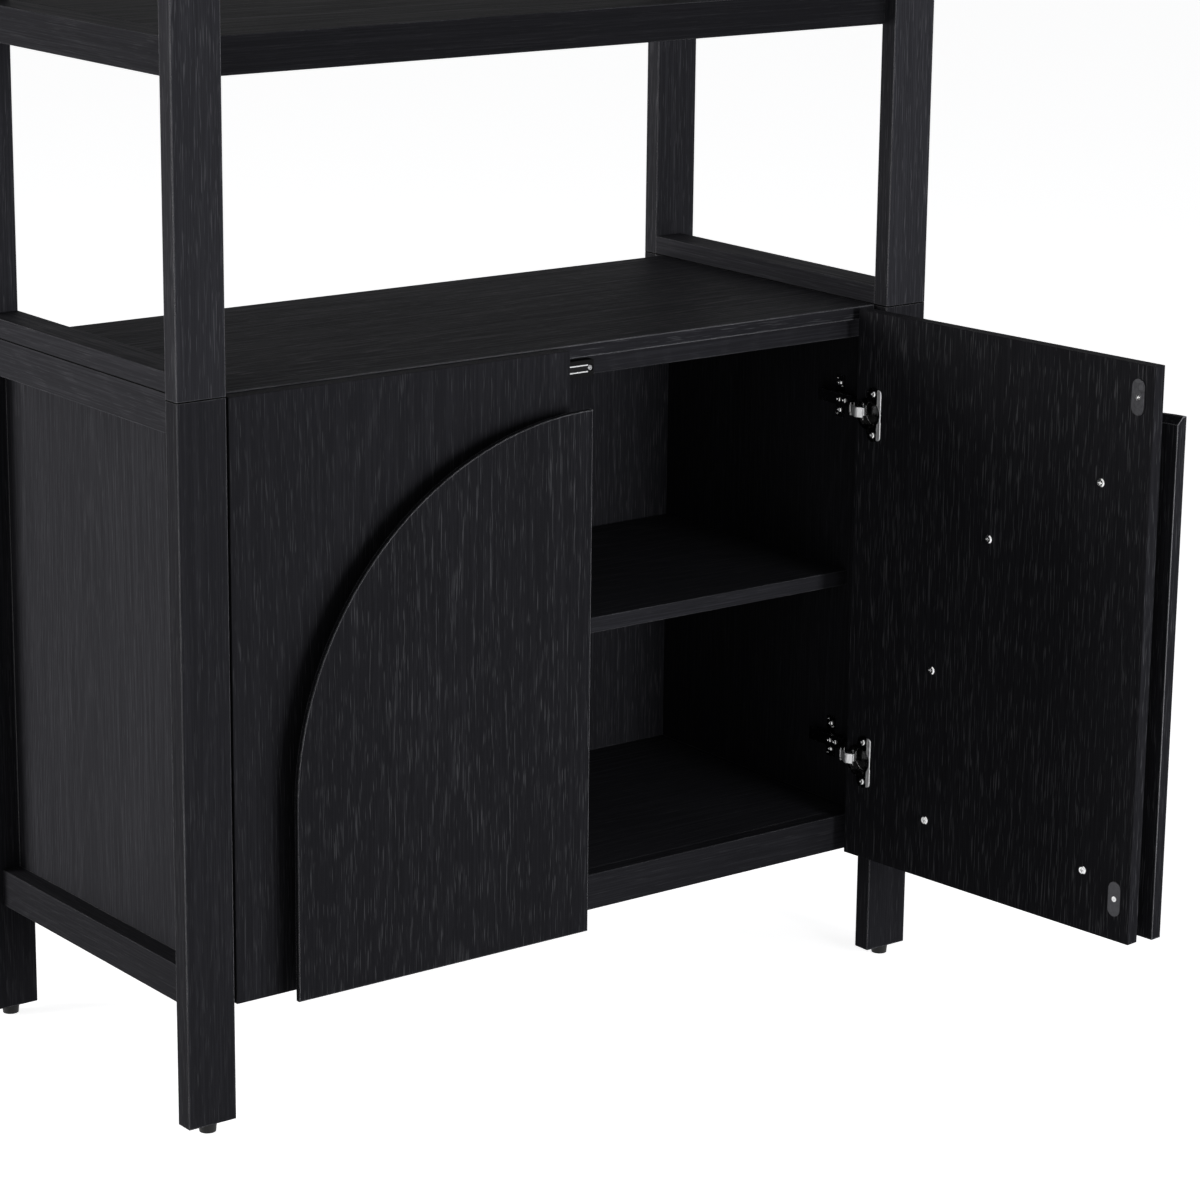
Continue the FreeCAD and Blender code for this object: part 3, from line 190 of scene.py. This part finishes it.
class Graph:
    """The node tree of one material, with short calls for the nodes that it uses."""

    def __init__(self, name):
        self.material = bpy.data.materials.new(name)
        self.material.use_nodes = True
        self.tree = self.material.node_tree
        self.shader = self.tree.nodes["Principled BSDF"]

    def feed(self, socket, value):
        if isinstance(value, bpy.types.NodeSocket):
            self.tree.links.new(value, socket)
        else:
            socket.default_value = value

    def set(self, **values):
        for name, value in values.items():
            self.feed(self.shader.inputs[name.replace("_", " ")], value)

    def coordinates(self, rotation=(0, 0, 0), shift=(0, 0, 0), scale=(1, 1, 1), source=None):
        mapping = self.tree.nodes.new("ShaderNodeMapping")
        mapping.inputs["Rotation"].default_value = rotation
        mapping.inputs["Location"].default_value = shift
        mapping.inputs["Scale"].default_value = scale
        if source is None:
            source = self.tree.nodes.new("ShaderNodeTexCoord").outputs["Object"]
        self.feed(mapping.inputs["Vector"], source)
        return mapping.outputs[0]

    def noise(self, vector, scale, detail, roughness=0.5, colour=False):
        node = self.tree.nodes.new("ShaderNodeTexNoise")
        self.feed(node.inputs["Vector"], vector)
        node.inputs["Scale"].default_value = scale
        node.inputs["Detail"].default_value = detail
        node.inputs["Roughness"].default_value = roughness
        return node.outputs["Color" if colour else "Fac"]

    def drawn_noise(self, source, scale, detail, roughness=0.5, colour=False):
        """Noise with its own scale along each axis."""
        return self.noise(self.coordinates(scale=scale, source=source), 1.0, detail, roughness, colour)

    def math(self, operation, first, second=0.0):
        node = self.tree.nodes.new("ShaderNodeMath")
        node.operation = operation
        self.feed(node.inputs[0], first)
        self.feed(node.inputs[1], second)
        return node.outputs[0]

    def vector_math(self, operation, first, second):
        node = self.tree.nodes.new("ShaderNodeVectorMath")
        node.operation = operation
        self.feed(node.inputs[0], first)
        self.feed(node.inputs[1], second)
        return node.outputs["Value" if operation == "DOT_PRODUCT" else "Vector"]

    def span(self, value, low, high, to_low=0.0, to_high=1.0):
        """Maps low..high to to_low..to_high, smoothly and no further."""
        node = self.tree.nodes.new("ShaderNodeMapRange")
        node.interpolation_type = "SMOOTHSTEP"
        self.feed(node.inputs["Value"], value)
        for name, number in zip(("From Min", "From Max", "To Min", "To Max"),
                                (low, high, to_low, to_high)):
            node.inputs[name].default_value = number
        return node.outputs["Result"]

    def blend(self, factor, first, second):
        node = self.tree.nodes.new("ShaderNodeMix")
        node.data_type = "RGBA"
        self.feed(node.inputs[0], factor)
        self.feed(node.inputs[6], first)
        self.feed(node.inputs[7], second)
        return node.outputs[2]

    def bump(self, height, distance, strength):
        node = self.tree.nodes.new("ShaderNodeBump")
        node.inputs["Strength"].default_value = strength
        node.inputs["Distance"].default_value = distance
        self.feed(node.inputs["Height"], height)
        return node.outputs[0]

    def edge_highlight_mask(self, radius):
        """Rises from nought along sharp edges, where highlights are painted."""
        bevel = self.tree.nodes.new("ShaderNodeBevel")
        bevel.samples = BEVEL_SAMPLES
        bevel.inputs["Radius"].default_value = radius
        geometry = self.tree.nodes.new("ShaderNodeNewGeometry")
        facing = self.vector_math("DOT_PRODUCT", bevel.outputs[0], geometry.outputs["Normal"])
        return self.math("SUBTRACT", 1.0, facing)


def grey(value, blue=0.0):
    """A near-neutral colour, a little bluer than grey where asked."""
    return (value, value, value * (1 + blue), 1.0)


# Stained oak. A board's grain runs along its third axis, so each noise is drawn out along that one.

GRAIN_TURNS = {"x": (0.0, -pi / 2, 0.0), "y": (pi / 2, 0.0, 0.0)}
SEED_STEP = Vector((0.83, 1.37, 2.11))
SWAY_SCALE = (9.0, 9.0, 2.0)
SWAY_REACH = (0.0025, 0.0025, 0.0)
NOISE_MEAN = (0.5, 0.5, 0.5)
RING_SCALE = (4.0, 4.0, 0.5)
RING_PHASE = 420.0
EARLY_WOOD_SPAN = (0.2, 1.0)
PORE_SCALE = (1100.0, 1100.0, 32.0)
PORE_SPAN = (0.63, 0.72)
PORES_IN_EARLY_WOOD = 0.06
VEIN_SCALE = (640.0, 640.0, 6.0)
VEIN_SPAN = (0.40, 0.72)
VEINS_IN_EARLY_WOOD = 0.05
CLOUD_SCALE = (7.0, 7.0, 1.6)
CLOUD_SPAN = (0.3, 0.7, 0.5, 1.0)
DARK_WOOD = (0.019, 0.14)
PLAIN_WOOD = (0.029, 0.14)
PALE_PORE = (0.11, 0.06)
# painted highlight along the arrises, where the rounded edges would catch the light
ARRIS_HIGHLIGHT_COLOUR = grey(0.34, 0.03)
# painted shadow in the gap of the joint between cabinet and rack, and the band it fills
SEAM_GAP_SHADOW = grey(0.0015)
SEAM_GAP_SHADOW_SPAN = (0.0004, 0.0012, 1.0, 0.0)
ARRIS_HIGHLIGHT_SPAN = (0.02, 0.18)
PATCH_SCALE = (30.0, 30.0, 6.0)
PATCH_SPAN = (0.35, 0.62)
OAK_ROUGHNESS = (0.66, 0.52)
OAK_SHEEN = 0.006
STREAK_RELIEF = 0.5
PORE_DEPTH = 0.0002
OAK_BUMP = 0.5


def board_space(graph, grain, seed, turn):
    """Coordinates of a board, with the grain along the third axis and swaying a little."""
    rotation = GRAIN_TURNS.get(grain, (0.0, 0.0, -turn))
    board = graph.coordinates(rotation=rotation, shift=SEED_STEP * seed)
    sway = graph.drawn_noise(board, SWAY_SCALE, detail=1.0, colour=True)
    sway = graph.vector_math("SUBTRACT", sway, NOISE_MEAN)
    sway = graph.vector_math("MULTIPLY", sway, SWAY_REACH)
    return graph.vector_math("ADD", board, sway)


def streaks_and_pores(graph, board):
    # growth rings are contour lines of a slow noise
    slow = graph.drawn_noise(board, RING_SCALE, detail=0.5, roughness=0.4)
    rings = graph.math("SINE", graph.math("MULTIPLY", slow, RING_PHASE))
    early_wood = graph.span(rings, *EARLY_WOOD_SPAN)
    # pores are short open dashes, most of them in the early wood
    pores = graph.drawn_noise(board, PORE_SCALE, detail=1.0)
    pores = graph.math("ADD", pores, graph.math("MULTIPLY", early_wood, PORES_IN_EARLY_WOOD))
    veins = graph.drawn_noise(board, VEIN_SCALE, detail=2.0)
    veins = graph.math("ADD", veins, graph.math("MULTIPLY", early_wood, VEINS_IN_EARLY_WOOD))
    return graph.span(veins, *VEIN_SPAN), graph.span(pores, *PORE_SPAN)


def paint_arris_highlight(graph, board, colour, arris):
    """Paints a highlight along the arrises, stronger in some places than in others."""
    width, least, most = arris
    painted_highlight = graph.span(graph.edge_highlight_mask(width), *ARRIS_HIGHLIGHT_SPAN)
    patches = graph.drawn_noise(board, PATCH_SCALE, detail=3.0)
    patches = graph.span(patches, *PATCH_SPAN, least, most)
    return graph.blend(graph.math("MULTIPLY", painted_highlight, patches), colour, ARRIS_HIGHLIGHT_COLOUR)


def paint_seam_shadow(graph, colour, seam):
    """Darkens a hairline band at the height of the joint between cabinet and rack: a painted shadow in
    the joint's gap.
    """
    level = graph.vector_math("DOT_PRODUCT", graph.coordinates(), (0.0, 0.0, 1.0))
    distance = graph.math("ABSOLUTE", graph.math("SUBTRACT", level, seam))
    return graph.blend(graph.span(distance, *SEAM_GAP_SHADOW_SPAN), colour, SEAM_GAP_SHADOW)


def stained_oak(name, grain, seed, turn, tone, figure, arris, seam):
    """Black-stained open-grained oak: growth rings, pale pores along them and a painted highlight along
    the arrises.

    The turn is how far the board's door stands open, the figure is how strongly the pores show,
    the arris is the width of the painted highlight band with its least and greatest strength, and
    the seam is the height of a joint whose gap gets a painted shadow line, if any.
    """
    graph = Graph(name)
    board = board_space(graph, grain, seed, turn)
    streaks, pores = streaks_and_pores(graph, board)
    cloud = graph.span(graph.drawn_noise(board, CLOUD_SCALE, detail=2.0), *CLOUD_SPAN)
    dark, plain, pale = (grey(value * tone, blue) for value, blue in (DARK_WOOD, PLAIN_WOOD, PALE_PORE))
    colour = graph.blend(graph.math("MULTIPLY", streaks, cloud), dark, plain)
    colour = graph.blend(graph.math("MULTIPLY", pores, figure), colour, pale)
    # painted highlight along the arrises
    colour = paint_arris_highlight(graph, board, colour, arris)
    # painted shadow: a hairline dark band along the joint's gap
    if seam is not None:
        colour = paint_seam_shadow(graph, colour, seam)
    relief = graph.math("SUBTRACT", graph.math("MULTIPLY", streaks, STREAK_RELIEF), pores)
    graph.set(Base_Color=colour,
              Roughness=graph.span(streaks, 0.0, 1.0, *OAK_ROUGHNESS),
              Specular_IOR_Level=OAK_SHEEN,
              Normal=graph.bump(relief, PORE_DEPTH, OAK_BUMP))
    return graph.material


# Metals, plastics and the dowels' beech.
# The roughness runs from its first value to its second while a noise passes through MIDDLE.

MIDDLE = (0.3, 0.7)
SMEAR_SCALE = 240.0
DIMPLE_SCALE = 900.0
DIMPLE_DEPTH = 0.00005
DIMPLE_STRENGTH = 0.3
SMOOTHEST = 0.75
ROUGHEST = 1.3
# painted glints: the metal's edges are coloured near white to stand in for the highlights they catch
GLINT_EDGE = 0.0007
GLINT_SPAN = (0.02, 0.20)
GLINT_METAL = grey(0.85)


def plated_steel(name, dark, bright, roughness, metallic=1.0):
    """Nickel plate with painted glints, which make it brightest along its edges."""
    graph = Graph(name)
    place = graph.coordinates()
    smear = graph.noise(place, SMEAR_SCALE, detail=3.0)
    dimples = graph.noise(place, DIMPLE_SCALE, detail=2.0)
    glint = graph.span(graph.edge_highlight_mask(GLINT_EDGE), *GLINT_SPAN)
    colour = graph.blend(smear, grey(dark), grey(bright))
    graph.set(Base_Color=graph.blend(glint, colour, GLINT_METAL),
              Metallic=metallic,
              Roughness=graph.span(smear, *MIDDLE, roughness * SMOOTHEST, roughness * ROUGHEST),
              Normal=graph.bump(dimples, DIMPLE_DEPTH, DIMPLE_STRENGTH))
    return graph.material


def mottled(name, scale, detail, dark, light, roughness, depth, strength, **rest):
    """A material whose one noise sets its colour, its relief and, where that is a pair, its roughness."""
    graph = Graph(name)
    mottle = graph.drawn_noise(None, scale, detail)
    if isinstance(roughness, tuple):
        roughness = graph.span(mottle, *MIDDLE, *roughness)
    graph.set(Base_Color=graph.blend(mottle, dark, light), Roughness=roughness,
              Normal=graph.bump(mottle, depth, strength), **rest)
    return graph.material


def bright_steel():
    return mottled("bright_steel", scale=(60.0, 60.0, 2500.0), detail=2.0,
                   dark=grey(0.34), light=grey(0.50), roughness=(0.25, 0.40),
                   depth=0.00005, strength=0.3, Metallic=1.0)


def blackened_steel():
    return mottled("dark_steel", scale=(320.0, 320.0, 320.0), detail=3.0,
                   dark=grey(0.035, 0.1), light=grey(0.065, 0.1), roughness=(0.30, 0.45),
                   depth=0.00005, strength=0.3, Metallic=0.8)


def moulded_plastic(name, value, sheen=0.2):
    return mottled(name, scale=(1400.0, 1400.0, 1400.0), detail=2.0,
                   dark=grey(value * 0.85), light=grey(value * 1.2), roughness=(0.42, 0.58),
                   depth=0.00008, strength=0.4, Specular_IOR_Level=sheen)


def sintered_iron():
    return mottled("magnet_iron", scale=(900.0, 900.0, 900.0), detail=4.0,
                   dark=grey(0.008), light=grey(0.014), roughness=0.6,
                   depth=0.0001, strength=0.4, Specular_IOR_Level=0.05)


def bare_beech():
    return mottled("beech", scale=(500.0, 60.0, 500.0), detail=3.0,
                   dark=(0.50, 0.33, 0.19, 1.0), light=(0.62, 0.44, 0.27, 1.0), roughness=0.6,
                   depth=0.0001, strength=0.3)


# Mesh work for the small stampings of the hinges

SMOOTH_BELOW = radians(38)
ROUNDED_ABOVE = radians(40)
ALONG_X, ALONG_Y, ALONG_Z = Vector((1, 0, 0)), Vector((0, 1, 0)), Vector((0, 0, 1))


def closed_rings(bm, rings):
    """Skins a row of rings of points, each with the same count, and caps both ends."""
    rows = [[bm.verts.new(point) for point in ring] for ring in rings]
    count = len(rows[0])
    for first, second in zip(rows, rows[1:]):
        for i in range(count):
            j = (i + 1) % count
            bm.faces.new((first[i], first[j], second[j], second[i]))
    bm.faces.new(list(reversed(rows[0])))
    bm.faces.new(rows[-1])


def disc_points(centre, first, second, radius, count):
    """Points of a circle in the plane of two directions."""
    angles = [2 * pi * i / count for i in range(count)]
    return [centre + radius * (cos(angle) * first + sin(angle) * second) for angle in angles]


def add_piece(name, bm, body, material, edge, segments):
    """Makes a piece of a mesh, with its sharp edges rounded, and lets it ride on a body."""
    bmesh.ops.recalc_face_normals(bm, faces=bm.faces)
    mesh = bpy.data.meshes.new(name)
    bm.to_mesh(mesh)
    bm.free()
    mesh.polygons.foreach_set("use_smooth", [True] * len(mesh.polygons))
    mesh.set_sharp_from_angle(angle=SMOOTH_BELOW)
    mesh.materials.append(material)
    piece = bpy.data.objects.new(name, mesh)
    scene.collection.objects.link(piece)
    rounding = piece.modifiers.new("rounding", "BEVEL")
    rounding.width = edge * MM
    rounding.segments = segments
    rounding.limit_method = "ANGLE"
    rounding.angle_limit = ROUNDED_ABOVE
    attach(piece, body)
    return piece


# Hinge links: broad stamped straps, bent twice, with a rolled eye at each end.
# Plan points are in millimetres from the arm's pin, with the door closed. All sizes are in millimetres.

HINGE_HEIGHTS = (256.0, 671.0)
ARM_PIN = (413.15, -201.0)
ARM_EYE = (0.0, 0.0)
CUP_EYE = (-17.95, -11.06)
STRAP_PATH = (ARM_EYE, (-3.4, -5.7), (-4.2, -7.0), (-8.7, -14.6), (-9.7, -16.0), (-11.3, -16.8),
              (-13.4, -16.95), (-19.0, -17.0))
TAB_PATH = ((-16.5, -17.0), (-17.4, -13.6), CUP_EYE)
STRAP_HALF_THICKNESS = 1.0
STRAP_HALF_HEIGHT = 5.75
EYE_HALF_HEIGHT = 4.5
EYE_RADIUS = 2.1
EYE_SIDES = 20
NARROW_POINTS = 2
LINK_TURN = radians(57.4)
LINK_EDGE = 0.3


def link_place(side, x, y, z):
    """World place of a link's plan point; the right link has turned with its door."""
    if side == "left":
        return Vector((x - ARM_PIN[0], y + ARM_PIN[1], z)) * MM
    turned_x = x * cos(LINK_TURN) - y * sin(LINK_TURN)
    turned_y = x * sin(LINK_TURN) + y * cos(LINK_TURN)
    return Vector((ARM_PIN[0] - turned_x, ARM_PIN[1] + turned_y, z)) * MM


def strap(bm, side, level, path, half_heights):
    """A bent strip of sheet along a plan path, with its half height at each point."""
    points = [Vector(point) for point in path]
    rings = []
    for i, point in enumerate(points):
        before = points[max(i - 1, 0)]
        after = points[min(i + 1, len(points) - 1)]
        run = (after - before).normalized()
        out = Vector((-run.y, run.x)) * STRAP_HALF_THICKNESS
        near, far = point - out, point + out
        low, high = level - half_heights[i], level + half_heights[i]
        rings.append([link_place(side, *near, low), link_place(side, *far, low),
                      link_place(side, *far, high), link_place(side, *near, high)])
    closed_rings(bm, rings)


def eye(bm, side, level, centre):
    rings = []
    for rise in (-EYE_HALF_HEIGHT, EYE_HALF_HEIGHT):
        middle = link_place(side, *centre, level + rise)
        rings.append(disc_points(middle, ALONG_X, ALONG_Y, EYE_RADIUS * MM, EYE_SIDES))
    closed_rings(bm, rings)


def make_links(material):
    wide = len(STRAP_PATH) - NARROW_POINTS
    strap_half_heights = [EYE_HALF_HEIGHT] * NARROW_POINTS + [STRAP_HALF_HEIGHT] * wide
    tab_half_heights = [EYE_HALF_HEIGHT] * len(TAB_PATH)
    for side in SIDES:
        bm = bmesh.new()
        for level in HINGE_HEIGHTS:
            strap(bm, side, level, STRAP_PATH, strap_half_heights)
            strap(bm, side, level, TAB_PATH, tab_half_heights)
            eye(bm, side, level, ARM_EYE)
            eye(bm, side, level, CUP_EYE)
        piece = add_piece(f"hinge_straps_{side}", bm, f"links_{side}", material,
                          edge=LINK_EDGE, segments=2)
        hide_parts(f"hinge_links_{side}")


# Flange lips: the outer side of each cup's screw flange, with a rolled edge.
# Places on a door are the distance from its hinge edge and the rise over its inner face, in millimetres.

CUP_PIN_INSET = 7.9
CUP_PIN_DEPTH = 3.06
CUP_PIN_PLACE = {"left": (-431.1, -212.06), "right": (413.503, -222.081)}
PAST_SQUARE = RIGHT_DOOR_TURN - pi / 2
TO_FREE_EDGE = {"left": Vector((1.0, 0.0)), "right": Vector((sin(PAST_SQUARE), -cos(PAST_SQUARE)))}
INTO_CABINET = {"left": Vector((0.0, 1.0)), "right": Vector((-cos(PAST_SQUARE), -sin(PAST_SQUARE)))}
CUP_INSET = 21.0
CUP_CLEAR_RADIUS = 16.3
LIP_INNER = 33.0
LIP_OUTER = 38.2
LIP_LEAST_WIDTH = 0.4
LIP_HALF_HEIGHT = 29.5
LIP_CORNER = 4.0
LIP_TOP = 1.68
LIP_STEPS = 60
LIP_EDGE = 0.15
ROLL_RADIUS = 0.85
ROLL_SINK = 0.5
ROLL_SIDES = 12


def door_place(side, inset, rise, z):
    plan = (Vector(CUP_PIN_PLACE[side]) + (inset - CUP_PIN_INSET) * TO_FREE_EDGE[side]
            + (CUP_PIN_DEPTH + rise) * INTO_CABINET[side])
    return Vector((plan.x, plan.y, z)) * MM


def lip_span(z):
    """Inner and outer edge of a lip at a height from the cup's centre."""
    inner = LIP_INNER
    if abs(z) < CUP_CLEAR_RADIUS:
        inner = max(inner, CUP_INSET + (CUP_CLEAR_RADIUS ** 2 - z ** 2) ** 0.5)
    past = max(abs(z) - (LIP_HALF_HEIGHT - LIP_CORNER), 0.0)
    outer = LIP_OUTER - LIP_CORNER + (LIP_CORNER ** 2 - past ** 2) ** 0.5
    return inner, max(outer, inner + LIP_LEAST_WIDTH)


def make_lips(material):
    for side in SIDES:
        bm = bmesh.new()
        inward = Vector((*INTO_CABINET[side], 0.0))
        outward = Vector((*TO_FREE_EDGE[side], 0.0))
        for level in HINGE_HEIGHTS:
            sheet = []
            roll = []
            for step in range(LIP_STEPS + 1):
                z = LIP_HALF_HEIGHT * (2 * step / LIP_STEPS - 1)
                inner, outer = lip_span(z)
                corners = ((inner, 0.0), (outer, 0.0), (outer, LIP_TOP), (inner, LIP_TOP))
                sheet.append([door_place(side, inset, rise, level + z) for inset, rise in corners])
                middle = door_place(side, outer, LIP_TOP - ROLL_SINK, level + z)
                roll.append(disc_points(middle, inward, outward, ROLL_RADIUS * MM, ROLL_SIDES))
            closed_rings(bm, sheet)
            closed_rings(bm, roll)
        add_piece(f"flange_lips_{side}", bm, f"door_{side}", material,
                  edge=LIP_EDGE, segments=1)


# Adjusting screws on the hinge arms and rivets in the mounting plates.
# A setback is measured from the cabinet's front. All sizes are in millimetres.

# radius and height of each ring of a head, from its foot to the middle of its recess
DOMED_HEAD = ((3.3, 0.0), (3.3, 0.7), (2.9, 1.4), (2.1, 1.8), (1.5, 1.85), (0.9, 1.2), (0.3, 0.9))
HEAD_SIDES = 16
HEAD_EDGE = 0.1
ARM_SCREW_SETBACKS = (62.0, 72.0)
# setback, rise over the middle of the hinge, and size next to an adjusting screw
RIVETS = ((80.0, 12.5, 0.45), (79.5, -9.5, 0.45), (88.0, 21.0, 0.35), (88.0, -21.0, 0.35))
ARM_TOP = 14.0
PLATE_THICKNESS = 2.0
HALF_DEPTH = 225.0


def domed_head(bm, seat, outward, size=1.0):
    rings = []
    for radius, height in DOMED_HEAD:
        middle = seat + outward * height * size * MM
        rings.append(disc_points(middle, ALONG_Y, ALONG_Z, radius * size * MM, HEAD_SIDES))
    closed_rings(bm, rings)


def make_arm_screws(material):
    bm = bmesh.new()
    for side in SIDES:
        low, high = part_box(f"side_panel_{side}")
        face = low[0] if side == "right" else high[0]
        outward = Vector((-1.0 if side == "right" else 1.0, 0.0, 0.0))
        for level in HINGE_HEIGHTS:
            for setback in ARM_SCREW_SETBACKS:
                seat = Vector((face, (setback - HALF_DEPTH) * MM, level * MM))
                domed_head(bm, seat + outward * ARM_TOP * MM, outward)
            for setback, rise, size in RIVETS:
                seat = Vector((face, (setback - HALF_DEPTH) * MM, (level + rise) * MM))
                domed_head(bm, seat + outward * PLATE_THICKNESS * MM, outward, size)
    add_piece("hinge_adjusters", bm, "carcass", material,
              edge=HEAD_EDGE, segments=1)


# What each node is made of. In these tables the first start that fits a node's name counts.

UPRIGHT_NODES = ("lower_post", "upper_post", "door_", "arch_panel", "side_panel", "back_panel")
TURNED_NODES = ("door_right", "arch_panel_right")
TONES = {
    "door_left": 0.76,
    "door_right": 0.65,
    "arch_panel": 0.65,
    # painted light: the upper posts are coloured brighter than the lower ones, in place of the stronger
    # light on them
    "upper_post": 1.22,
    "side_top_rail": 1.15,
    "rack_base_rail": 1.15,
    "side_panel": 1.10,
    "back_panel": 1.10,
    "cabinet_floor": 1.10,
    "inner_shelf": 1.10,
}
PLAIN_TONE = 0.84
# painted shade: the shelves are coloured darker, in place of the dimmer light on their tops
SHELF_SHADE_TONE = 0.50
SHELVES = ("lower_shelf", "middle_shelf", "top_shelf")
FIGURES = {
    "door_left": 0.32,
    "door_right": 0.75,
    "arch_panel": 0.58,
    "upper_post": 0.30,
    "lower_post": 0.22,
    "back_panel": 0.35,
    "cabinet_top": 0.45,
}
PLAIN_FIGURE = 0.12
# width of each painted arris highlight, with its least and greatest strength
ARRISES = {
    "door_": (0.0010, 0.0, 0.25),
    "arch_panel": (0.0026, 0.55, 1.0),
    "cabinet_top": (0.0030, 0.5, 1.0),
    "upper_post": (0.0024, 0.5, 1.0),
    "lower_post": (0.0024, 0.5, 1.0),
}
PLAIN_ARRIS = (0.0018, 0.3, 0.8)


def look_up(table, node, other=None):
    for start, value in table.items():
        if node.startswith(start):
            return value
    return other


def grain_of(node):
    """Side rails run from front to back, posts, doors and panels upright, the rest crosswise."""
    if node.endswith(("_rail_left", "_rail_right")):
        return "y"
    return "z" if node.startswith(UPRIGHT_NODES) else "x"


def seam_of(node):
    """Height at which the rack stands on the cabinet, for the pieces that meet there."""
    if node.startswith(("upper_post", "rack_base_rail")):
        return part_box(node)[0][2]
    if node.startswith(("lower_post", "side_top_rail")):
        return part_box(node)[1][2]
    return None


def oak_of(node, seed):
    turn = RIGHT_DOOR_TURN if node in TURNED_NODES else 0.0
    tone = SHELF_SHADE_TONE if node in SHELVES else look_up(TONES, node, PLAIN_TONE)
    return stained_oak(f"oak_{node}", grain_of(node), seed, turn, tone,
                       look_up(FIGURES, node, PLAIN_FIGURE), look_up(ARRISES, node, PLAIN_ARRIS),
                       seam_of(node))


def dress_nodes():
    screw = plated_steel("nickel_screw", dark=0.62, bright=0.78, roughness=0.20)
    link = plated_steel("satin_nickel", dark=0.74, bright=0.84, roughness=0.40, metallic=0.55)
    steel = bright_steel()
    fittings = {
        "dowels": bare_beech(),
        "glide_feet": moulded_plastic("glide_plastic", value=0.012),
        "catch_housings": moulded_plastic("catch_plastic", value=0.008, sheen=0.02),
        "catch_magnets": sintered_iron(),
        "catch_pole_strips": steel,
        "catch_screws": plated_steel("dull_screw", dark=0.10, bright=0.16, roughness=0.35),
        "shelf_pins": steel,
        "arch_screws": screw,
        "door_fitting_screws": screw,
        "hinge_plate_screws": screw,
        "hinge_links": link,
        # hinge nickel painted near black: a painted dark reflection in place of the dark surroundings it
        # would mirror
        "hinge_": plated_steel("nickel_painted_dark", dark=0.045, bright=0.10, roughness=0.22),
        "strike_plates": blackened_steel(),
        "arch_spacers": moulded_plastic("dark_spacer", value=0.014),
    }
    for seed, (name, piece) in enumerate(sorted(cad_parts.items())):
        material = look_up(fittings, name) or oak_of(name, seed)
        piece.data.materials.clear()
        piece.data.materials.append(material)
    make_links(link)
    make_lips(link)
    make_arm_screws(screw)


scene.view_settings.view_transform = "Standard"
make_camera()
make_world()
make_floor()
make_lamps()
dress_nodes()
